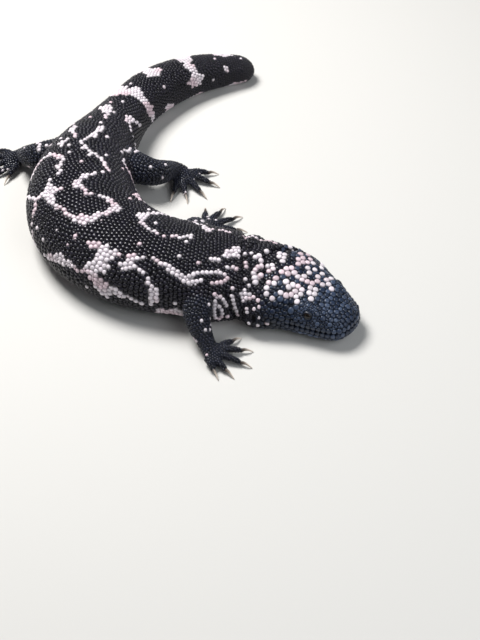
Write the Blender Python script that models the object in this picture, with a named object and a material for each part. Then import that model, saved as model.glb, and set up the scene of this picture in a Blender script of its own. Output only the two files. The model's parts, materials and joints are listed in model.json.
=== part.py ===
"""A gila monster at life size, lying on its belly with the head turned a little to its right.

Lengths are in millimetres until a mesh is made. The floor is z = 0 and +Z is up. The origin is the
middle of the flat under the belly. A place on the body is given by its distance from the snout along
the spine, called the station, and by an angle round the section there, which is 0 on the back and
grows towards the animal's left.
"""

import math

import bpy
import bmesh
import numpy as np

for old in list(bpy.data.objects):
    bpy.data.objects.remove(old, do_unlink=True)

MM = 0.001
GAP = 0.3
LIMB_GAP = 0.9

# Driving dimensions
SNOUT_TO_VENT = 291.0
TAIL = 137.0
TOTAL = SNOUT_TO_VENT + TAIL
BELLY_STATION = 188.0
HEAD_YAW = -37.0
SPINE_STEP = 0.5

# Where each bend of the spine starts and ends, and how far it turns the way that the animal faces
SPINE_BENDS = (
    ("neck", 47.0, 85.0, 37.0),
    ("trunk", 85.0, 279.0, -110.0),
    ("tail", 287.0, 428.0, -58.0),
)

# Station, half width, and the heights of the underside, the widest line and the back
BODY = (
    (0.0, 12.0, 1.8, 9.4, 16.8),
    (9.5, 15.4, 0.3, 9.4, 20.4),
    (22.0, 19.8, -0.5, 9.8, 24.4),
    (33.0, 23.6, -0.9, 11.0, 27.2),
    (44.0, 26.3, -1.0, 12.8, 29.2),
    (53.0, 27.0, -0.9, 13.8, 31.0),
    (61.0, 25.4, -0.8, 13.6, 31.8),
    (71.0, 25.8, -0.9, 14.0, 34.0),
    (85.0, 28.4, -1.3, 15.0, 38.5),
    (99.0, 30.2, -1.7, 16.5, 41.0),
    (125.0, 32.6, -2.0, 18.0, 43.0),
    (163.0, 35.5, -2.4, 18.5, 45.0),
    (203.0, 36.5, -2.4, 18.5, 45.0),
    (238.0, 32.0, -2.0, 18.5, 43.0),
    (265.0, 26.0, -1.6, 18.0, 40.0),
    (289.0, 20.0, -1.2, 16.5, 35.5),
    (309.0, 17.0, -1.0, 15.0, 32.0),
    (345.0, 16.0, -0.9, 14.0, 30.0),
    (381.0, 13.6, -0.8, 12.2, 26.0),
    (411.0, 10.6, -0.7, 9.8, 20.5),
    (428.0, 8.4, -0.6, 8.0, 16.0),
)
SQUARENESS = 2.3
# Loose skin that bunches out on the right, where the neck bends: station, length along, outward, angle
BUNCH_STATION, BUNCH_LONG, BUNCH_OUT, BUNCH_ANGLE = 70.0, 17.0, 7.0, -105.0
# Throat and chest sag out on the right, all one way, so that the bend can't pinch them: the station of
# each bag of loose skin, its size along the body and how far it hangs out
SAGS, SAG_ANGLE, SAG_WAY = ((57.0, 15.0, 7.5), (97.0, 11.0, 5.5)), -120.0, np.array([-0.17, -0.985])
PLANE_ROUNDS = 30
SNOUT_ROUND, SNOUT_MIDDLE, SNOUT_BLUNTNESS = 10.0, 10.2, 2.4
TAIL_ROUND, TAIL_MIDDLE, TAIL_BLUNTNESS = 11.0, 7.0, 2.0

# The beads are coarser here than on the live animal: pitch and height above the skin
HEAD_PITCH, NECK_PITCH, TRUNK_PITCH, TAIL_PITCH, LIMB_PITCH = 5.0, 6.2, 7.6, 6.8, 6.4
HEAD_BEAD, TRUNK_BEAD, TAIL_BEAD, LIMB_BEAD = 0.9, 1.2, 1.1, 0.8
BELLY_SPACING = 1.7
BEAD_FLOOR, BEAD_FADE = 2.5, 6.0

# The lengths that the body is divided into: name, first and last station, bead pitch and bead height
LENGTHS = (
    ("head", 0.0, 60.0, HEAD_PITCH, HEAD_BEAD),
    ("neck", 60.0, 83.0, NECK_PITCH, HEAD_BEAD),
    ("chest", 83.0, 135.0, TRUNK_PITCH, TRUNK_BEAD),
    ("belly", 135.0, 225.0, TRUNK_PITCH, TRUNK_BEAD),
    ("hips", 225.0, 293.0, TRUNK_PITCH, TRUNK_BEAD),
    ("tail_base", 293.0, 339.0, TAIL_PITCH, TAIL_BEAD),
    ("tail_middle", 339.0, 385.0, TAIL_PITCH, TAIL_BEAD),
    ("tail_tip", 385.0, TOTAL, TAIL_PITCH, TAIL_BEAD),
)

# Head: brow ridges, eyes, lids, ears, nostrils and the line of the mouth
BROW_STATION, BROW_ACROSS, BROW_OUT, BROW_UP = 22.0, 13.0, 1.5, 1.4
BROW_LONG, BROW_WIDE = 7.0, 4.0
EYE_STATION, EYE_ANGLE, EYE_RADIUS, EYE_SUNK = 23.0, 52.0, 3.0, 1.9
LID_RING, LID_THICK, LID_TALL, LID_HEAVIER_ABOVE = 3.5, 1.0, 0.86, 0.25
LID_SUNK, LID_SIDES, LID_CORNERS = 0.3, 12, 6
EAR_STATION, EAR_HEIGHT, EAR_SIZE = 54.0, 14.5, (1.5, 2.0, 3.4)
NOSTRIL_STATION, NOSTRIL_ANGLE, NOSTRIL_SIZE = 5.2, 60.0, (1.3, 1.1, 1.0)
MOUTH_CORNER, MOUTH_FRONT_HEIGHT, MOUTH_DIP, MOUTH_CORNER_HEIGHT = 33.0, 11.4, 10.9, 12.2
JAW_REAR = 39.0
LIP_ABOVE, LIP_THICK, LIP_SUNK = 1.5, 1.3, 0.55
LIP_RINGS, LIP_SIDES = 31, 6
# The block that cuts out the lower jaw reaches this far past it ahead, to both sides and below
JAW_AHEAD, JAW_ASIDE, JAW_BELOW = 6.0, 40.0, 4.0
JAW_STEPS = 10

# Limbs: joints as forward, outward and up from the spine at the limb's station, then the half width
# and half height there. The rows are the root inside the trunk, elbow or knee, wrist or ankle, knuckles.
LIMBS = {
    "foreleg_right": {
        "station": 96.0,
        "side": -1,
        "joints": (
            (1.0, 8.0, 22.0, 11.0, 11.0),
            (-10.0, 34.0, 19.0, 8.6, 8.4),
            (-3.8, 50.8, 7.0, 5.3, 5.0),
            (3.2, 58.2, 3.6, 6.3, 3.5),
        ),
        "digit_yaw": (81.0, 48.0, 22.0, -4.0, -22.0),
        "digit_length": (7.5, 12.5, 15.0, 11.0, 6.0),
    },
    "foreleg_left": {
        "station": 96.0,
        "side": 1,
        "joints": (
            (0.0, 8.0, 22.0, 11.0, 11.0),
            (-14.0, 34.0, 19.0, 8.6, 8.4),
            (-9.0, 49.0, 7.0, 5.6, 5.0),
            (-2.0, 57.0, 3.6, 6.6, 3.5),
        ),
        "digit_yaw": (72.0, 42.0, 12.0, -16.0, -46.0),
        "digit_length": (7.5, 12.5, 15.0, 13.0, 8.5),
    },
    "hind_leg_right": {
        "station": 261.0,
        "side": -1,
        "joints": (
            (-2.0, 6.0, 20.0, 13.0, 12.0),
            (13.0, 36.0, 19.5, 9.2, 8.8),
            (3.0, 53.0, 7.8, 6.0, 5.2),
            (9.0, 62.5, 3.7, 7.2, 3.6),
        ),
        "digit_yaw": (40.0, 18.0, -4.0, -28.0, -56.0),
        "digit_length": (9.0, 12.5, 15.0, 14.5, 10.0),
    },
    "hind_leg_left": {
        "station": 261.0,
        "side": 1,
        "joints": (
            (-2.0, 6.0, 20.0, 13.0, 12.0),
            (4.0, 40.0, 18.0, 9.6, 9.2),
            (-14.0, 52.0, 7.5, 6.2, 5.4),
            (-10.0, 64.0, 3.7, 7.2, 3.6),
        ),
        "digit_yaw": (58.0, 31.0, 4.0, -24.0, -54.0),
        "digit_length": (9.0, 12.5, 15.0, 14.5, 10.0),
    },
}
HAND_FROM = {"foreleg": "hand", "hind_leg": "foot"}
DIGIT_START, DIGIT_SPREAD = 2.5, 5.0
DIGIT_ROOT, DIGIT_TIP = 2.7, 1.8
DIGIT_HEIGHTS = (3.8, 4.6, 3.8, 2.0)
DIGIT_SIDES, DIGIT_RINGS = 8, 5
PALM_SIDES, PALM_RINGS, PALM_REACH = 12, 4, 4.0
CLAW_LENGTH, CLAW_ROOT, CLAW_TIP, CLAW_SIDES, CLAW_RINGS = 6.2, 1.5, 0.25, 6, 5
CLAW_ARCH, CLAW_FLOOR, CLAW_FLAT = 1.3, 0.15, 0.75


def smooth_step(t):
    """0 before 0, 1 after 1, and 3t^2 - 2t^3 between."""
    t = np.clip(t, 0.0, 1.0)
    return t * t * (3.0 - 2.0 * t)


def smooth_table(x, rows):
    """A table's columns at x: a cubic through the rows, its slopes taken from their neighbours."""
    rows = np.asarray(rows, float)
    knots, values = rows[:, 0], rows[:, 1:]
    slopes = np.gradient(values, knots, axis=0)
    x = np.clip(np.asarray(x, float), knots[0], knots[-1])
    low = np.clip(np.searchsorted(knots, x, side="right") - 1, 0, len(knots) - 2)
    step = (knots[low + 1] - knots[low])[..., None]
    t = (x - knots[low])[..., None] / step
    return (
        values[low] * (1 + 2 * t) * (1 - t) ** 2
        + values[low + 1] * t * t * (3 - 2 * t)
        + slopes[low] * step * t * (1 - t) ** 2
        - slopes[low + 1] * step * t * t * (1 - t)
    )


def spine_yaw(station):
    """Which way the body faces at a station, in radians round +Z."""
    yaw = np.full(np.shape(station), HEAD_YAW)
    for _, start, end, turn in SPINE_BENDS:
        yaw = yaw + turn * smooth_step((np.asarray(station) - start) / (end - start))
    return np.radians(yaw)


def lay_spine():
    """Stations along the spine and the places that they come to, with the belly's station at the origin."""
    stations = np.arange(0.0, TOTAL + SPINE_STEP, SPINE_STEP)
    yaw = spine_yaw(stations - SPINE_STEP / 2)
    steps = -SPINE_STEP * np.stack([np.cos(yaw), np.sin(yaw)], 1)
    steps[0] = 0.0
    places = np.cumsum(steps, axis=0)
    origin = [np.interp(BELLY_STATION, stations, places[:, k]) for k in (0, 1)]
    return stations, places - origin


SPINE_STATIONS, SPINE_PLACES = lay_spine()


def spine_frame(station):
    """Place, forward and left of the spine at a station, as flat vectors."""
    station = np.asarray(station, float)
    place = np.stack([np.interp(station, SPINE_STATIONS, SPINE_PLACES[:, k]) for k in (0, 1)], -1)
    yaw = spine_yaw(station)
    forward = np.stack([np.cos(yaw), np.sin(yaw)], -1)
    left = np.stack([-np.sin(yaw), np.cos(yaw)], -1)
    return place, forward, left


def rounded(distance, radius, bluntness):
    """How much of its full size a section keeps this far from a rounded end."""
    t = np.clip(1.0 - distance / radius, 0.0, 1.0)
    return (1.0 - t**bluntness) ** (1.0 / bluntness)


def body_section(station):
    """Half width and the heights of underside, widest line and back, drawn in at both ends."""
    width, under, widest, back = np.moveaxis(smooth_table(station, BODY), -1, 0)
    snout = rounded(station, SNOUT_ROUND, SNOUT_BLUNTNESS)
    tail = rounded(TOTAL - np.asarray(station), TAIL_ROUND, TAIL_BLUNTNESS)
    keep = snout * tail
    middle = np.where(np.asarray(station) < TOTAL / 2, SNOUT_MIDDLE, TAIL_MIDDLE)
    heights = [middle + (z - middle) * keep for z in (under, widest, back)]
    return (width * keep, *heights)


def body_local(station, angle):
    """Distance across to the left and height of the skin: two half superellipses, and the brow ridges."""
    width, under, widest, back = body_section(station)
    sine, cosine = np.sin(angle), np.cos(angle)
    power = 2.0 / SQUARENESS
    across = width * np.sign(sine) * np.abs(sine) ** power
    reach = np.where(cosine > 0, back - widest, widest - under)
    height = widest + reach * np.sign(cosine) * np.abs(cosine) ** power
    brow = np.exp(
        -(((station - BROW_STATION) / BROW_LONG) ** 2)
        - ((np.abs(across) - BROW_ACROSS) / BROW_WIDE) ** 2
    ) * (cosine > 0)
    across = across + np.sign(sine) * BROW_OUT * brow
    height = height + BROW_UP * brow
    facing = np.maximum(np.cos(angle - math.radians(BUNCH_ANGLE)), 0.0) ** 2
    across = across - BUNCH_OUT * facing * np.exp(-(((station - BUNCH_STATION) / BUNCH_LONG) ** 2))
    return across, np.maximum(height, 0.0)


def sagging(station, angle):
    """How far the loose skin hangs out: bells along the body times the square of a cosine round it."""
    facing = np.maximum(np.cos(angle - math.radians(SAG_ANGLE)), 0.0) ** 2
    return facing * sum(out * np.exp(-(((station - at) / size) ** 2)) for at, size, out in SAGS)


def body_point(station, angle):
    """Points of the skin."""
    place, _, left = spine_frame(station)
    across, height = body_local(station, angle)
    flat = place + left * across[..., None] + SAG_WAY * sagging(station, angle)[..., None]
    return np.concatenate([flat, height[..., None]], -1)


def plane_points(station, angle):
    """Points of the skin at these angles, in the plane that crosses the spine at a station.

    Each point's own station goes back by as far as the point lies ahead of the plane, and again, until
    the sagging skin meets the plane too.
    """
    place, forward, _ = spine_frame(station)
    along = np.full(angle.shape, station)
    for _ in range(PLANE_ROUNDS):
        along += (body_point(along, angle)[:, :2] - place) @ forward
    return body_point(along, angle)


def body_ring(station, pitch, half_turn, shift=0.0):
    """One closed row round the body: turns from 0 to 1 and points, wider apart on the underside.

    shift moves the row forward along the spine.
    """
    angle = np.linspace(0.0, 2 * math.pi, 361)
    points = plane_points(station, angle)
    lengths = np.linalg.norm(np.diff(points, axis=0), axis=1)
    high = smooth_step((points[1:, 2] - BEAD_FLOOR) / BEAD_FADE)
    lengths = lengths * (1.0 / BELLY_SPACING + (1.0 - 1.0 / BELLY_SPACING) * high)
    run = np.concatenate([[0.0], np.cumsum(lengths)])
    count = max(6, 2 * round(run[-1] / pitch / 2))
    wanted = (np.arange(count) + 0.5 * half_turn) / count * run[-1]
    chosen = np.interp(wanted, run, angle)
    ring = plane_points(station, chosen)
    ring[:, :2] += spine_frame(station)[1] * shift
    return chosen / (2 * math.pi), ring


def row_stations(first, last, pitch):
    """Stations of the bead rows, evenly spaced along the skin between two ends."""
    station = np.linspace(first, last, 400)
    middle = body_point(station, np.full(station.shape, math.radians(50)))
    run = np.concatenate([[0.0], np.cumsum(np.linalg.norm(np.diff(middle, axis=0), axis=1))])
    rows = max(2, round(run[-1] / (pitch * math.sqrt(0.75))))
    return np.interp(np.arange(1, rows) / rows * run[-1], run, station)


def stitch(first, second, start_a, start_b):
    """Triangles between two rows of points, each given by its turns from 0 to 1."""
    count_a, count_b = len(first), len(second)
    if count_a == 1 or count_b == 1:
        ring, point = (second, start_a) if count_a == 1 else (first, start_b)
        start = start_b if count_a == 1 else start_a
        turn = len(ring)
        fan = [(point, start + (k + 1) % turn, start + k) for k in range(turn)]
        return fan if count_a == 1 else [(p, b, a) for p, a, b in fan]
    triangles, a, b = [], 0, 0
    while a < count_a or b < count_b:
        next_a = first[(a + 1) % count_a] + (a + 1) // count_a
        next_b = second[(b + 1) % count_b] + (b + 1) // count_b
        here_a, here_b = start_a + a % count_a, start_b + b % count_b
        if b >= count_b or (a < count_a and next_a <= next_b):
            triangles.append((here_a, start_a + (a + 1) % count_a, here_b))
            a += 1
        else:
            triangles.append((here_a, start_b + (b + 1) % count_b, here_b))
            b += 1
    return triangles


def normals_of(points, triangles):
    """The outward direction at each point, from the faces round it."""
    corners = points[triangles]
    face = np.cross(corners[:, 1] - corners[:, 0], corners[:, 2] - corners[:, 0])
    total = np.zeros_like(points)
    for k in range(3):
        np.add.at(total, triangles[:, k], face)
    length = np.linalg.norm(total, axis=1, keepdims=True)
    return total / np.maximum(length, 1e-12)


def beaded(rings, bead_height):
    """A closed skin over rows of points, each row's points raised as beads with a groove round each.

    The rows are joined by triangles. Each triangle's middle stays on the skin as a corner of the
    groove, and a fan of faces runs from it up to each bead. The first and last rows stay flat: they
    close the piece with a plane, or are one point. bead_height gives each point's own height.
    """
    starts = np.cumsum([0] + [len(turns) for turns, _ in rings])
    points = np.concatenate([place for _, place in rings])
    triangles = []
    for k in range(len(rings) - 1):
        triangles += stitch(rings[k][0], rings[k + 1][0], starts[k], starts[k + 1])
    triangles = np.array(triangles)
    middles = points[triangles].mean(axis=1)
    flat = np.zeros(len(points), bool)
    for k, end in ((0, 0), (-2, -1)):
        if len(rings[end][0]) > 1:
            flat[starts[k] : starts[k] + len(rings[end][0])] = True
    outward = normals_of(points, triangles)
    if (outward * (points - points.mean(axis=0))).sum() < 0:
        triangles, outward = triangles[:, ::-1], -outward
    raised = points + outward * (np.where(flat, 0.0, bead_height(points)))[:, None]
    raised[:, 2] = np.maximum(raised[:, 2], 0.0)
    owner = {}
    for index, (a, b, c) in enumerate(triangles):
        for edge in ((a, b), (b, c), (c, a)):
            owner[edge] = index
    faces, count = [], len(points)
    for (a, b), index in owner.items():
        other = owner.get((b, a))
        if other is None:
            faces.append((a, b, count + index))
        else:
            faces.append((a, count + other, count + index))
    vertices = [raised, middles]
    top = count + len(middles)
    for k, end in ((0, 0), (-2, -1)):
        turn = len(rings[end][0])
        if turn == 1:
            continue
        vertices.append(points[starts[k] : starts[k] + turn].mean(axis=0)[None])
        for i in range(turn):
            edge = (starts[k] + i, starts[k] + (i + 1) % turn)
            edge = edge if edge in owner else edge[::-1]
            faces.append((edge[1], edge[0], top))
        top += 1
    return np.concatenate(vertices), np.array(faces)


def new_object(name, points, faces):
    """A closed mesh object from points in millimetres, with its faces turned outward."""
    mesh = bpy.data.meshes.new(name)
    mesh.from_pydata((np.asarray(points) * MM).tolist(), [], [list(map(int, f)) for f in faces])
    bm = bmesh.new()
    bm.from_mesh(mesh)
    if bm.calc_volume(signed=True) < 0:
        bmesh.ops.reverse_faces(bm, faces=bm.faces)
    bm.to_mesh(mesh)
    bm.free()
    made = bpy.data.objects.new(name, mesh)
    bpy.context.scene.collection.objects.link(made)
    return made


def apply_modifiers(made):
    """Puts the evaluated mesh in place of the object's own, and clears its modifiers."""
    graph = bpy.context.evaluated_depsgraph_get()
    mesh = bpy.data.meshes.new_from_object(made.evaluated_get(graph))
    made.modifiers.clear()
    made.data = mesh


def keep_largest(made):
    """Drops every closed surface of the object but its largest."""
    bm = bmesh.new()
    bm.from_mesh(made.data)
    left, groups = set(bm.verts), []
    while left:
        group, queue = set(), [left.pop()]
        while queue:
            vertex = queue.pop()
            group.add(vertex)
            for edge in vertex.link_edges:
                near = edge.other_vert(vertex)
                if near in left:
                    left.discard(near)
                    queue.append(near)
        groups.append(group)
    groups.sort(key=len)
    for group in groups[:-1]:
        bmesh.ops.delete(bm, geom=list(group), context="VERTS")
    bm.to_mesh(made.data)
    bm.free()


def combine(made, others, operation, solver="MANIFOLD"):
    """Joins the others to an object, or cuts them from it, and removes them."""
    group = bpy.data.collections.new(made.name + "_pieces")
    for other in others:
        group.objects.link(other)
    boolean = made.modifiers.new(operation.lower(), "BOOLEAN")
    boolean.operand_type = "COLLECTION"
    boolean.collection = group
    boolean.operation = operation
    boolean.solver = solver
    apply_modifiers(made)
    for other in others:
        bpy.data.objects.remove(other, do_unlink=True)
    bpy.data.collections.remove(group)
    keep_largest(made)


def round_blob(name, centre, size, axes, subdivisions=2):
    """A faceted ellipsoid at centre, with half sizes along three axes."""
    bm = bmesh.new()
    bmesh.ops.create_icosphere(bm, subdivisions=subdivisions, radius=1.0)
    shape = np.array([v.co[:] for v in bm.verts])
    faces = [[v.index for v in f.verts] for f in bm.faces]
    bm.free()
    points = np.asarray(centre) + (shape * np.asarray(size)) @ np.asarray(axes)
    return new_object(name, points, faces)


def skin_axes(station, angle):
    """A point of the skin with unit vectors there: backward along the body, up round it, and outward."""
    step = 0.4
    here = body_point(np.array([station]), np.array([angle]))[0]
    back = body_point(np.array([station + step]), np.array([angle]))[0] - here
    turn = -math.copysign(0.02, angle)
    up = body_point(np.array([station]), np.array([angle + turn]))[0] - here
    back /= np.linalg.norm(back)
    up -= back * (up @ back)
    up /= np.linalg.norm(up)
    outward = np.cross(back, up)
    if outward[:2] @ (here - body_point(np.array([station]), np.array([0.0]))[0])[:2] < 0:
        outward = -outward
    return here, np.array([back, up, outward])


def oval(centre, along, half_width, half_height, turns):
    """Points of an oval square to a direction and level across, at these turns, kept above the floor."""
    along = along / np.linalg.norm(along)
    across = np.cross([0.0, 0.0, 1.0], along)
    across /= np.linalg.norm(across)
    up = np.cross(along, across)
    angle = 2 * math.pi * np.asarray(turns)[:, None]
    points = centre + np.cos(angle) * across * half_width + np.sin(angle) * up * half_height
    points[:, 2] = np.maximum(points[:, 2], 0.0)
    return points


def tube(centres, half_widths, half_heights, sides):
    """Rings of a tube along a path. Its sections are ovals square to the path."""
    centres = np.asarray(centres, float)
    ways = np.gradient(centres, axis=0)
    turns = np.arange(sides) / sides
    return [(turns, oval(*ring, turns)) for ring in zip(centres, ways, half_widths, half_heights)]


def plain_faces(rings):
    """Points and faces of a closed skin over rings of equal counts, with a fan at each end."""
    count = len(rings[0][0])
    points = np.concatenate([place for _, place in rings])
    faces = []
    for k in range(len(rings) - 1):
        for i in range(count):
            a, b = k * count + i, k * count + (i + 1) % count
            faces.append((a, b, b + count))
            faces.append((a, b + count, a + count))
    last = (len(rings) - 1) * count
    points = np.concatenate([points, [rings[0][1].mean(axis=0)], [rings[-1][1].mean(axis=0)]])
    for i in range(count):
        faces.append(((i + 1) % count, i, len(points) - 2))
        faces.append((last + i, last + (i + 1) % count, len(points) - 1))
    return points, np.array(faces)


def limb_rows(limb):
    """The limb's joints in the world: run, place, half width and half height of each."""
    place, forward, left = spine_frame(limb["station"])
    rows = []
    for run, (ahead, out, up, wide, high) in enumerate(limb["joints"]):
        x, y = place + forward * ahead + left * limb["side"] * out
        rows.append((float(run), x, y, up, wide, high))
    return rows


def limb_root_mask(points, limbs):
    """0 where a limb grows from the skin, and 1 away from it."""
    mask = np.ones(len(points))
    for limb in limbs:
        path = smooth_table(np.linspace(0.0, 1.2, 25), limb_rows(limb))
        apart = points[:, None, :] - path[None, :, :3]
        clear = np.linalg.norm(apart, axis=2) - path[None, :, 3]
        mask *= smooth_step((clear.min(axis=1) - 0.8) / 2.5)
    return mask


def make_length(name, first, last, pitch, bead, limbs=(), grow=0.0):
    """One length of the body, closed by planes at its cuts, with its beads."""
    stations = row_stations(first, last, pitch)
    rings = []
    if first == 0.0:
        rings.append((np.array([0.0]), body_point(np.array([0.0]), np.array([0.0]))))
    else:
        rings.append(body_ring(first, pitch, 0, -GAP / 2))
    for k, station in enumerate(stations):
        rings.append(body_ring(station, pitch, (k + 1) % 2))
    if last == TOTAL:
        rings.append((np.array([0.0]), body_point(np.array([TOTAL]), np.array([0.0]))))
    else:
        rings.append(body_ring(last, pitch, (len(stations) + 1) % 2, GAP / 2))

    def bead_height(points):
        high = smooth_step((points[:, 2] - BEAD_FLOOR) / BEAD_FADE)
        return bead * high * limb_root_mask(points, limbs)

    points, faces = beaded(rings, bead_height)
    if grow:
        away = normals_of(points, faces)
        sign = np.sign((away * (points - points.mean(axis=0))).sum())
        points = points + away * sign * grow
    return new_object(name, points, faces)


def mouth_height(station):
    """Height of the line of the mouth: it dips behind the snout and rises to its corner."""
    t = np.clip(np.asarray(station, float) / MOUTH_CORNER, 0.0, 1.0)
    rise = MOUTH_FRONT_HEIGHT + (MOUTH_CORNER_HEIGHT - MOUTH_FRONT_HEIGHT) * t
    return rise - (MOUTH_FRONT_HEIGHT - MOUTH_DIP) * np.sin(math.pi * t)


def jaw_block(name, gap):
    """A block that holds the lower jaw: its top follows the line of the mouth, its rear slants down."""
    stations = np.concatenate([[-JAW_AHEAD], np.linspace(0.0, MOUTH_CORNER, JAW_STEPS)])
    top = mouth_height(stations) + gap
    rear = np.array([[JAW_REAR + gap, -JAW_BELOW], [-JAW_AHEAD, -JAW_BELOW]])
    outline = np.concatenate([np.stack([stations, top], 1), [[MOUTH_CORNER + gap, top[-1]]], rear])
    place, forward, left = spine_frame(0.0)
    sides = []
    for across in (-JAW_ASIDE, JAW_ASIDE):
        flat = place - forward * outline[:, :1] + left * across
        sides.append(np.concatenate([flat, outline[:, 1:]], 1))
    points, count = np.concatenate(sides), len(outline)
    faces = [tuple(range(count)), tuple(range(2 * count - 1, count - 1, -1))]
    faces += [(i, count + i, count + (i + 1) % count, (i + 1) % count) for i in range(count)]
    return new_object(name, points, faces)


def lip_ridge(name, lift):
    """A ridge round the mouth from one corner to the other, lift above or below its line."""
    stations = MOUTH_CORNER * np.linspace(0.0, 1.0, 60) ** 2
    height = mouth_height(stations) + lift
    angle = np.linspace(0.02, math.pi, 300)
    outline = []
    for station, level in zip(stations, height):
        across, up = body_local(np.full(angle.shape, station), angle)
        near = np.abs(up - level).argmin()
        outline.append((station, across[near] - LIP_SUNK, level))
    outline = np.array([row for row in outline if row[1] > 1.0])
    outline = np.concatenate([outline[::-1], outline * [1, -1, 1]])
    run = np.concatenate([[0.0], np.cumsum(np.linalg.norm(np.diff(outline, axis=0), axis=1))])
    wanted = np.linspace(0.0, run[-1], LIP_RINGS)
    outline = np.stack([np.interp(wanted, run, outline[:, k]) for k in range(3)], 1)
    place, forward, left = spine_frame(0.0)
    front = np.clip(LIP_SUNK - outline[:, 0], 0.0, LIP_SUNK)
    flat = place - forward * (outline[:, :1] + front[:, None]) + left * outline[:, 1:2]
    centres = np.concatenate([flat, outline[:, 2:]], 1)
    taper = np.sin(np.linspace(0.35, math.pi - 0.35, len(centres))) ** 0.4
    thick = LIP_THICK * taper
    return new_object(name, *plain_faces(tube(centres, thick, thick, LIP_SIDES)))


def lid_ring(name, here, axes):
    """A ring of lid round an eye, thicker above than below."""
    back, up, outward = axes
    points = []
    for turn in np.linspace(0.0, 2 * math.pi, LID_SIDES, endpoint=False):
        ray = np.cos(turn) * back + np.sin(turn) * up * LID_TALL
        thick = LID_THICK * (1.0 + LID_HEAVIER_ABOVE * math.sin(turn))
        for t in np.linspace(0.0, 2 * math.pi, LID_CORNERS, endpoint=False):
            rise = thick * math.sin(t) - LID_SUNK
            points.append(here + ray * (LID_RING + thick * math.cos(t)) + outward * rise)
    faces = []
    for i in range(LID_SIDES):
        for k in range(LID_CORNERS):
            ahead, beside = (i + 1) % LID_SIDES, (k + 1) % LID_CORNERS
            a, b = i * LID_CORNERS + k, i * LID_CORNERS + beside
            c, d = ahead * LID_CORNERS + beside, ahead * LID_CORNERS + k
            faces += [(a, b, c), (a, c, d)]
    return new_object(name, points, faces)


def ear_angle():
    """The angle of the section at the ear whose height is the ear's."""
    angle = np.linspace(0.3, math.pi, 400)
    _, height = body_local(np.full(angle.shape, EAR_STATION), angle)
    return angle[np.abs(height - EAR_HEIGHT).argmin()]


def make_head():
    """The head with its lids, nostrils, ears and lips, the lower jaw apart from it, and both eyes."""
    head = make_length("head", *LENGTHS[0][1:])
    lids, sockets, eyes = [], [], []
    for side, word in ((1, "left"), (-1, "right")):
        here, axes = skin_axes(EYE_STATION, side * math.radians(EYE_ANGLE))
        centre = here - axes[2] * EYE_SUNK
        lids.append(lid_ring("lid_" + word, here, axes))
        sockets.append(round_blob("socket_" + word, centre, [EYE_RADIUS + GAP] * 3, axes))
        eyes.append(round_blob("eye_" + word, centre, [EYE_RADIUS] * 3, axes))
        here, axes = skin_axes(NOSTRIL_STATION, side * math.radians(NOSTRIL_ANGLE))
        sockets.append(round_blob("nostril_" + word, here, NOSTRIL_SIZE, axes))
        here, axes = skin_axes(EAR_STATION, side * ear_angle())
        along, high, deep = EAR_SIZE[0], EAR_SIZE[2], EAR_SIZE[1]
        sockets.append(round_blob("ear_" + word, here, (along, high, deep), axes))
    combine(head, [*lids, lip_ridge("lips_above", LIP_ABOVE)], "UNION")
    combine(head, sockets, "DIFFERENCE")
    jaw = make_length("lower_jaw", *LENGTHS[0][1:])
    combine(jaw, [lip_ridge("lips_below", -LIP_ABOVE)], "UNION")
    combine(jaw, [jaw_block("jaw_space", -GAP / 2)], "INTERSECT")
    combine(head, [jaw_block("mouth_gap", GAP / 2)], "DIFFERENCE")
    return head, jaw, eyes


def limb_nodes(name, limb, cutter):
    """The upper and lower parts of a limb, its hand or foot and the claws on it."""
    rows = limb_rows(limb)
    made = []

    def bead_height(points):
        return LIMB_BEAD * smooth_step((points[:, 2] - BEAD_FLOOR) / BEAD_FADE)

    for part, first, last in (("upper", 0.0, 1.0), ("lower", 1.0, 2.0)):
        path = smooth_table(np.linspace(first, last, 60), rows)
        length = np.linalg.norm(np.diff(path[:, :3], axis=0), axis=1).sum()
        count = max(3, round(length / (LIMB_PITCH * math.sqrt(0.75)))) + 1
        path = smooth_table(np.linspace(first, last, count), rows)
        girth = 2 * math.pi * path[:, 3:5].mean()
        sides = 2 * round(girth / LIMB_PITCH / 2)
        rings = limb_rings(rows, np.linspace(first, last, count), sides, first > 0, True)
        made.append(new_object(f"{name}_{part}", *beaded(rings, bead_height)))
    for piece in made:
        combine(piece, [cutter(piece.name + "_clearance")], "DIFFERENCE")
    made += end_nodes(name, limb, rows)
    return made


def limb_rings(rows, runs, sides, cut_first, cut_last):
    """Rings of a limb at these runs, with half a gap left at each cut."""
    rings = []
    for k, run in enumerate(runs):
        row = smooth_table(run, rows)
        ahead = smooth_table(min(run + 1e-3, rows[-1][0]), rows)
        behind = smooth_table(max(run - 1e-3, 0.0), rows)
        along = (ahead - behind)[:3] / np.linalg.norm((ahead - behind)[:3])
        centre = row[:3].copy()
        if cut_first and k == 0:
            centre += along * LIMB_GAP / 2
        if cut_last and k == len(runs) - 1:
            centre -= along * LIMB_GAP / 2
        turns = (np.arange(sides) + 0.5 * (k % 2)) / sides
        rings.append((turns, oval(centre, along, row[3], row[4], turns)))
    return rings


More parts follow.
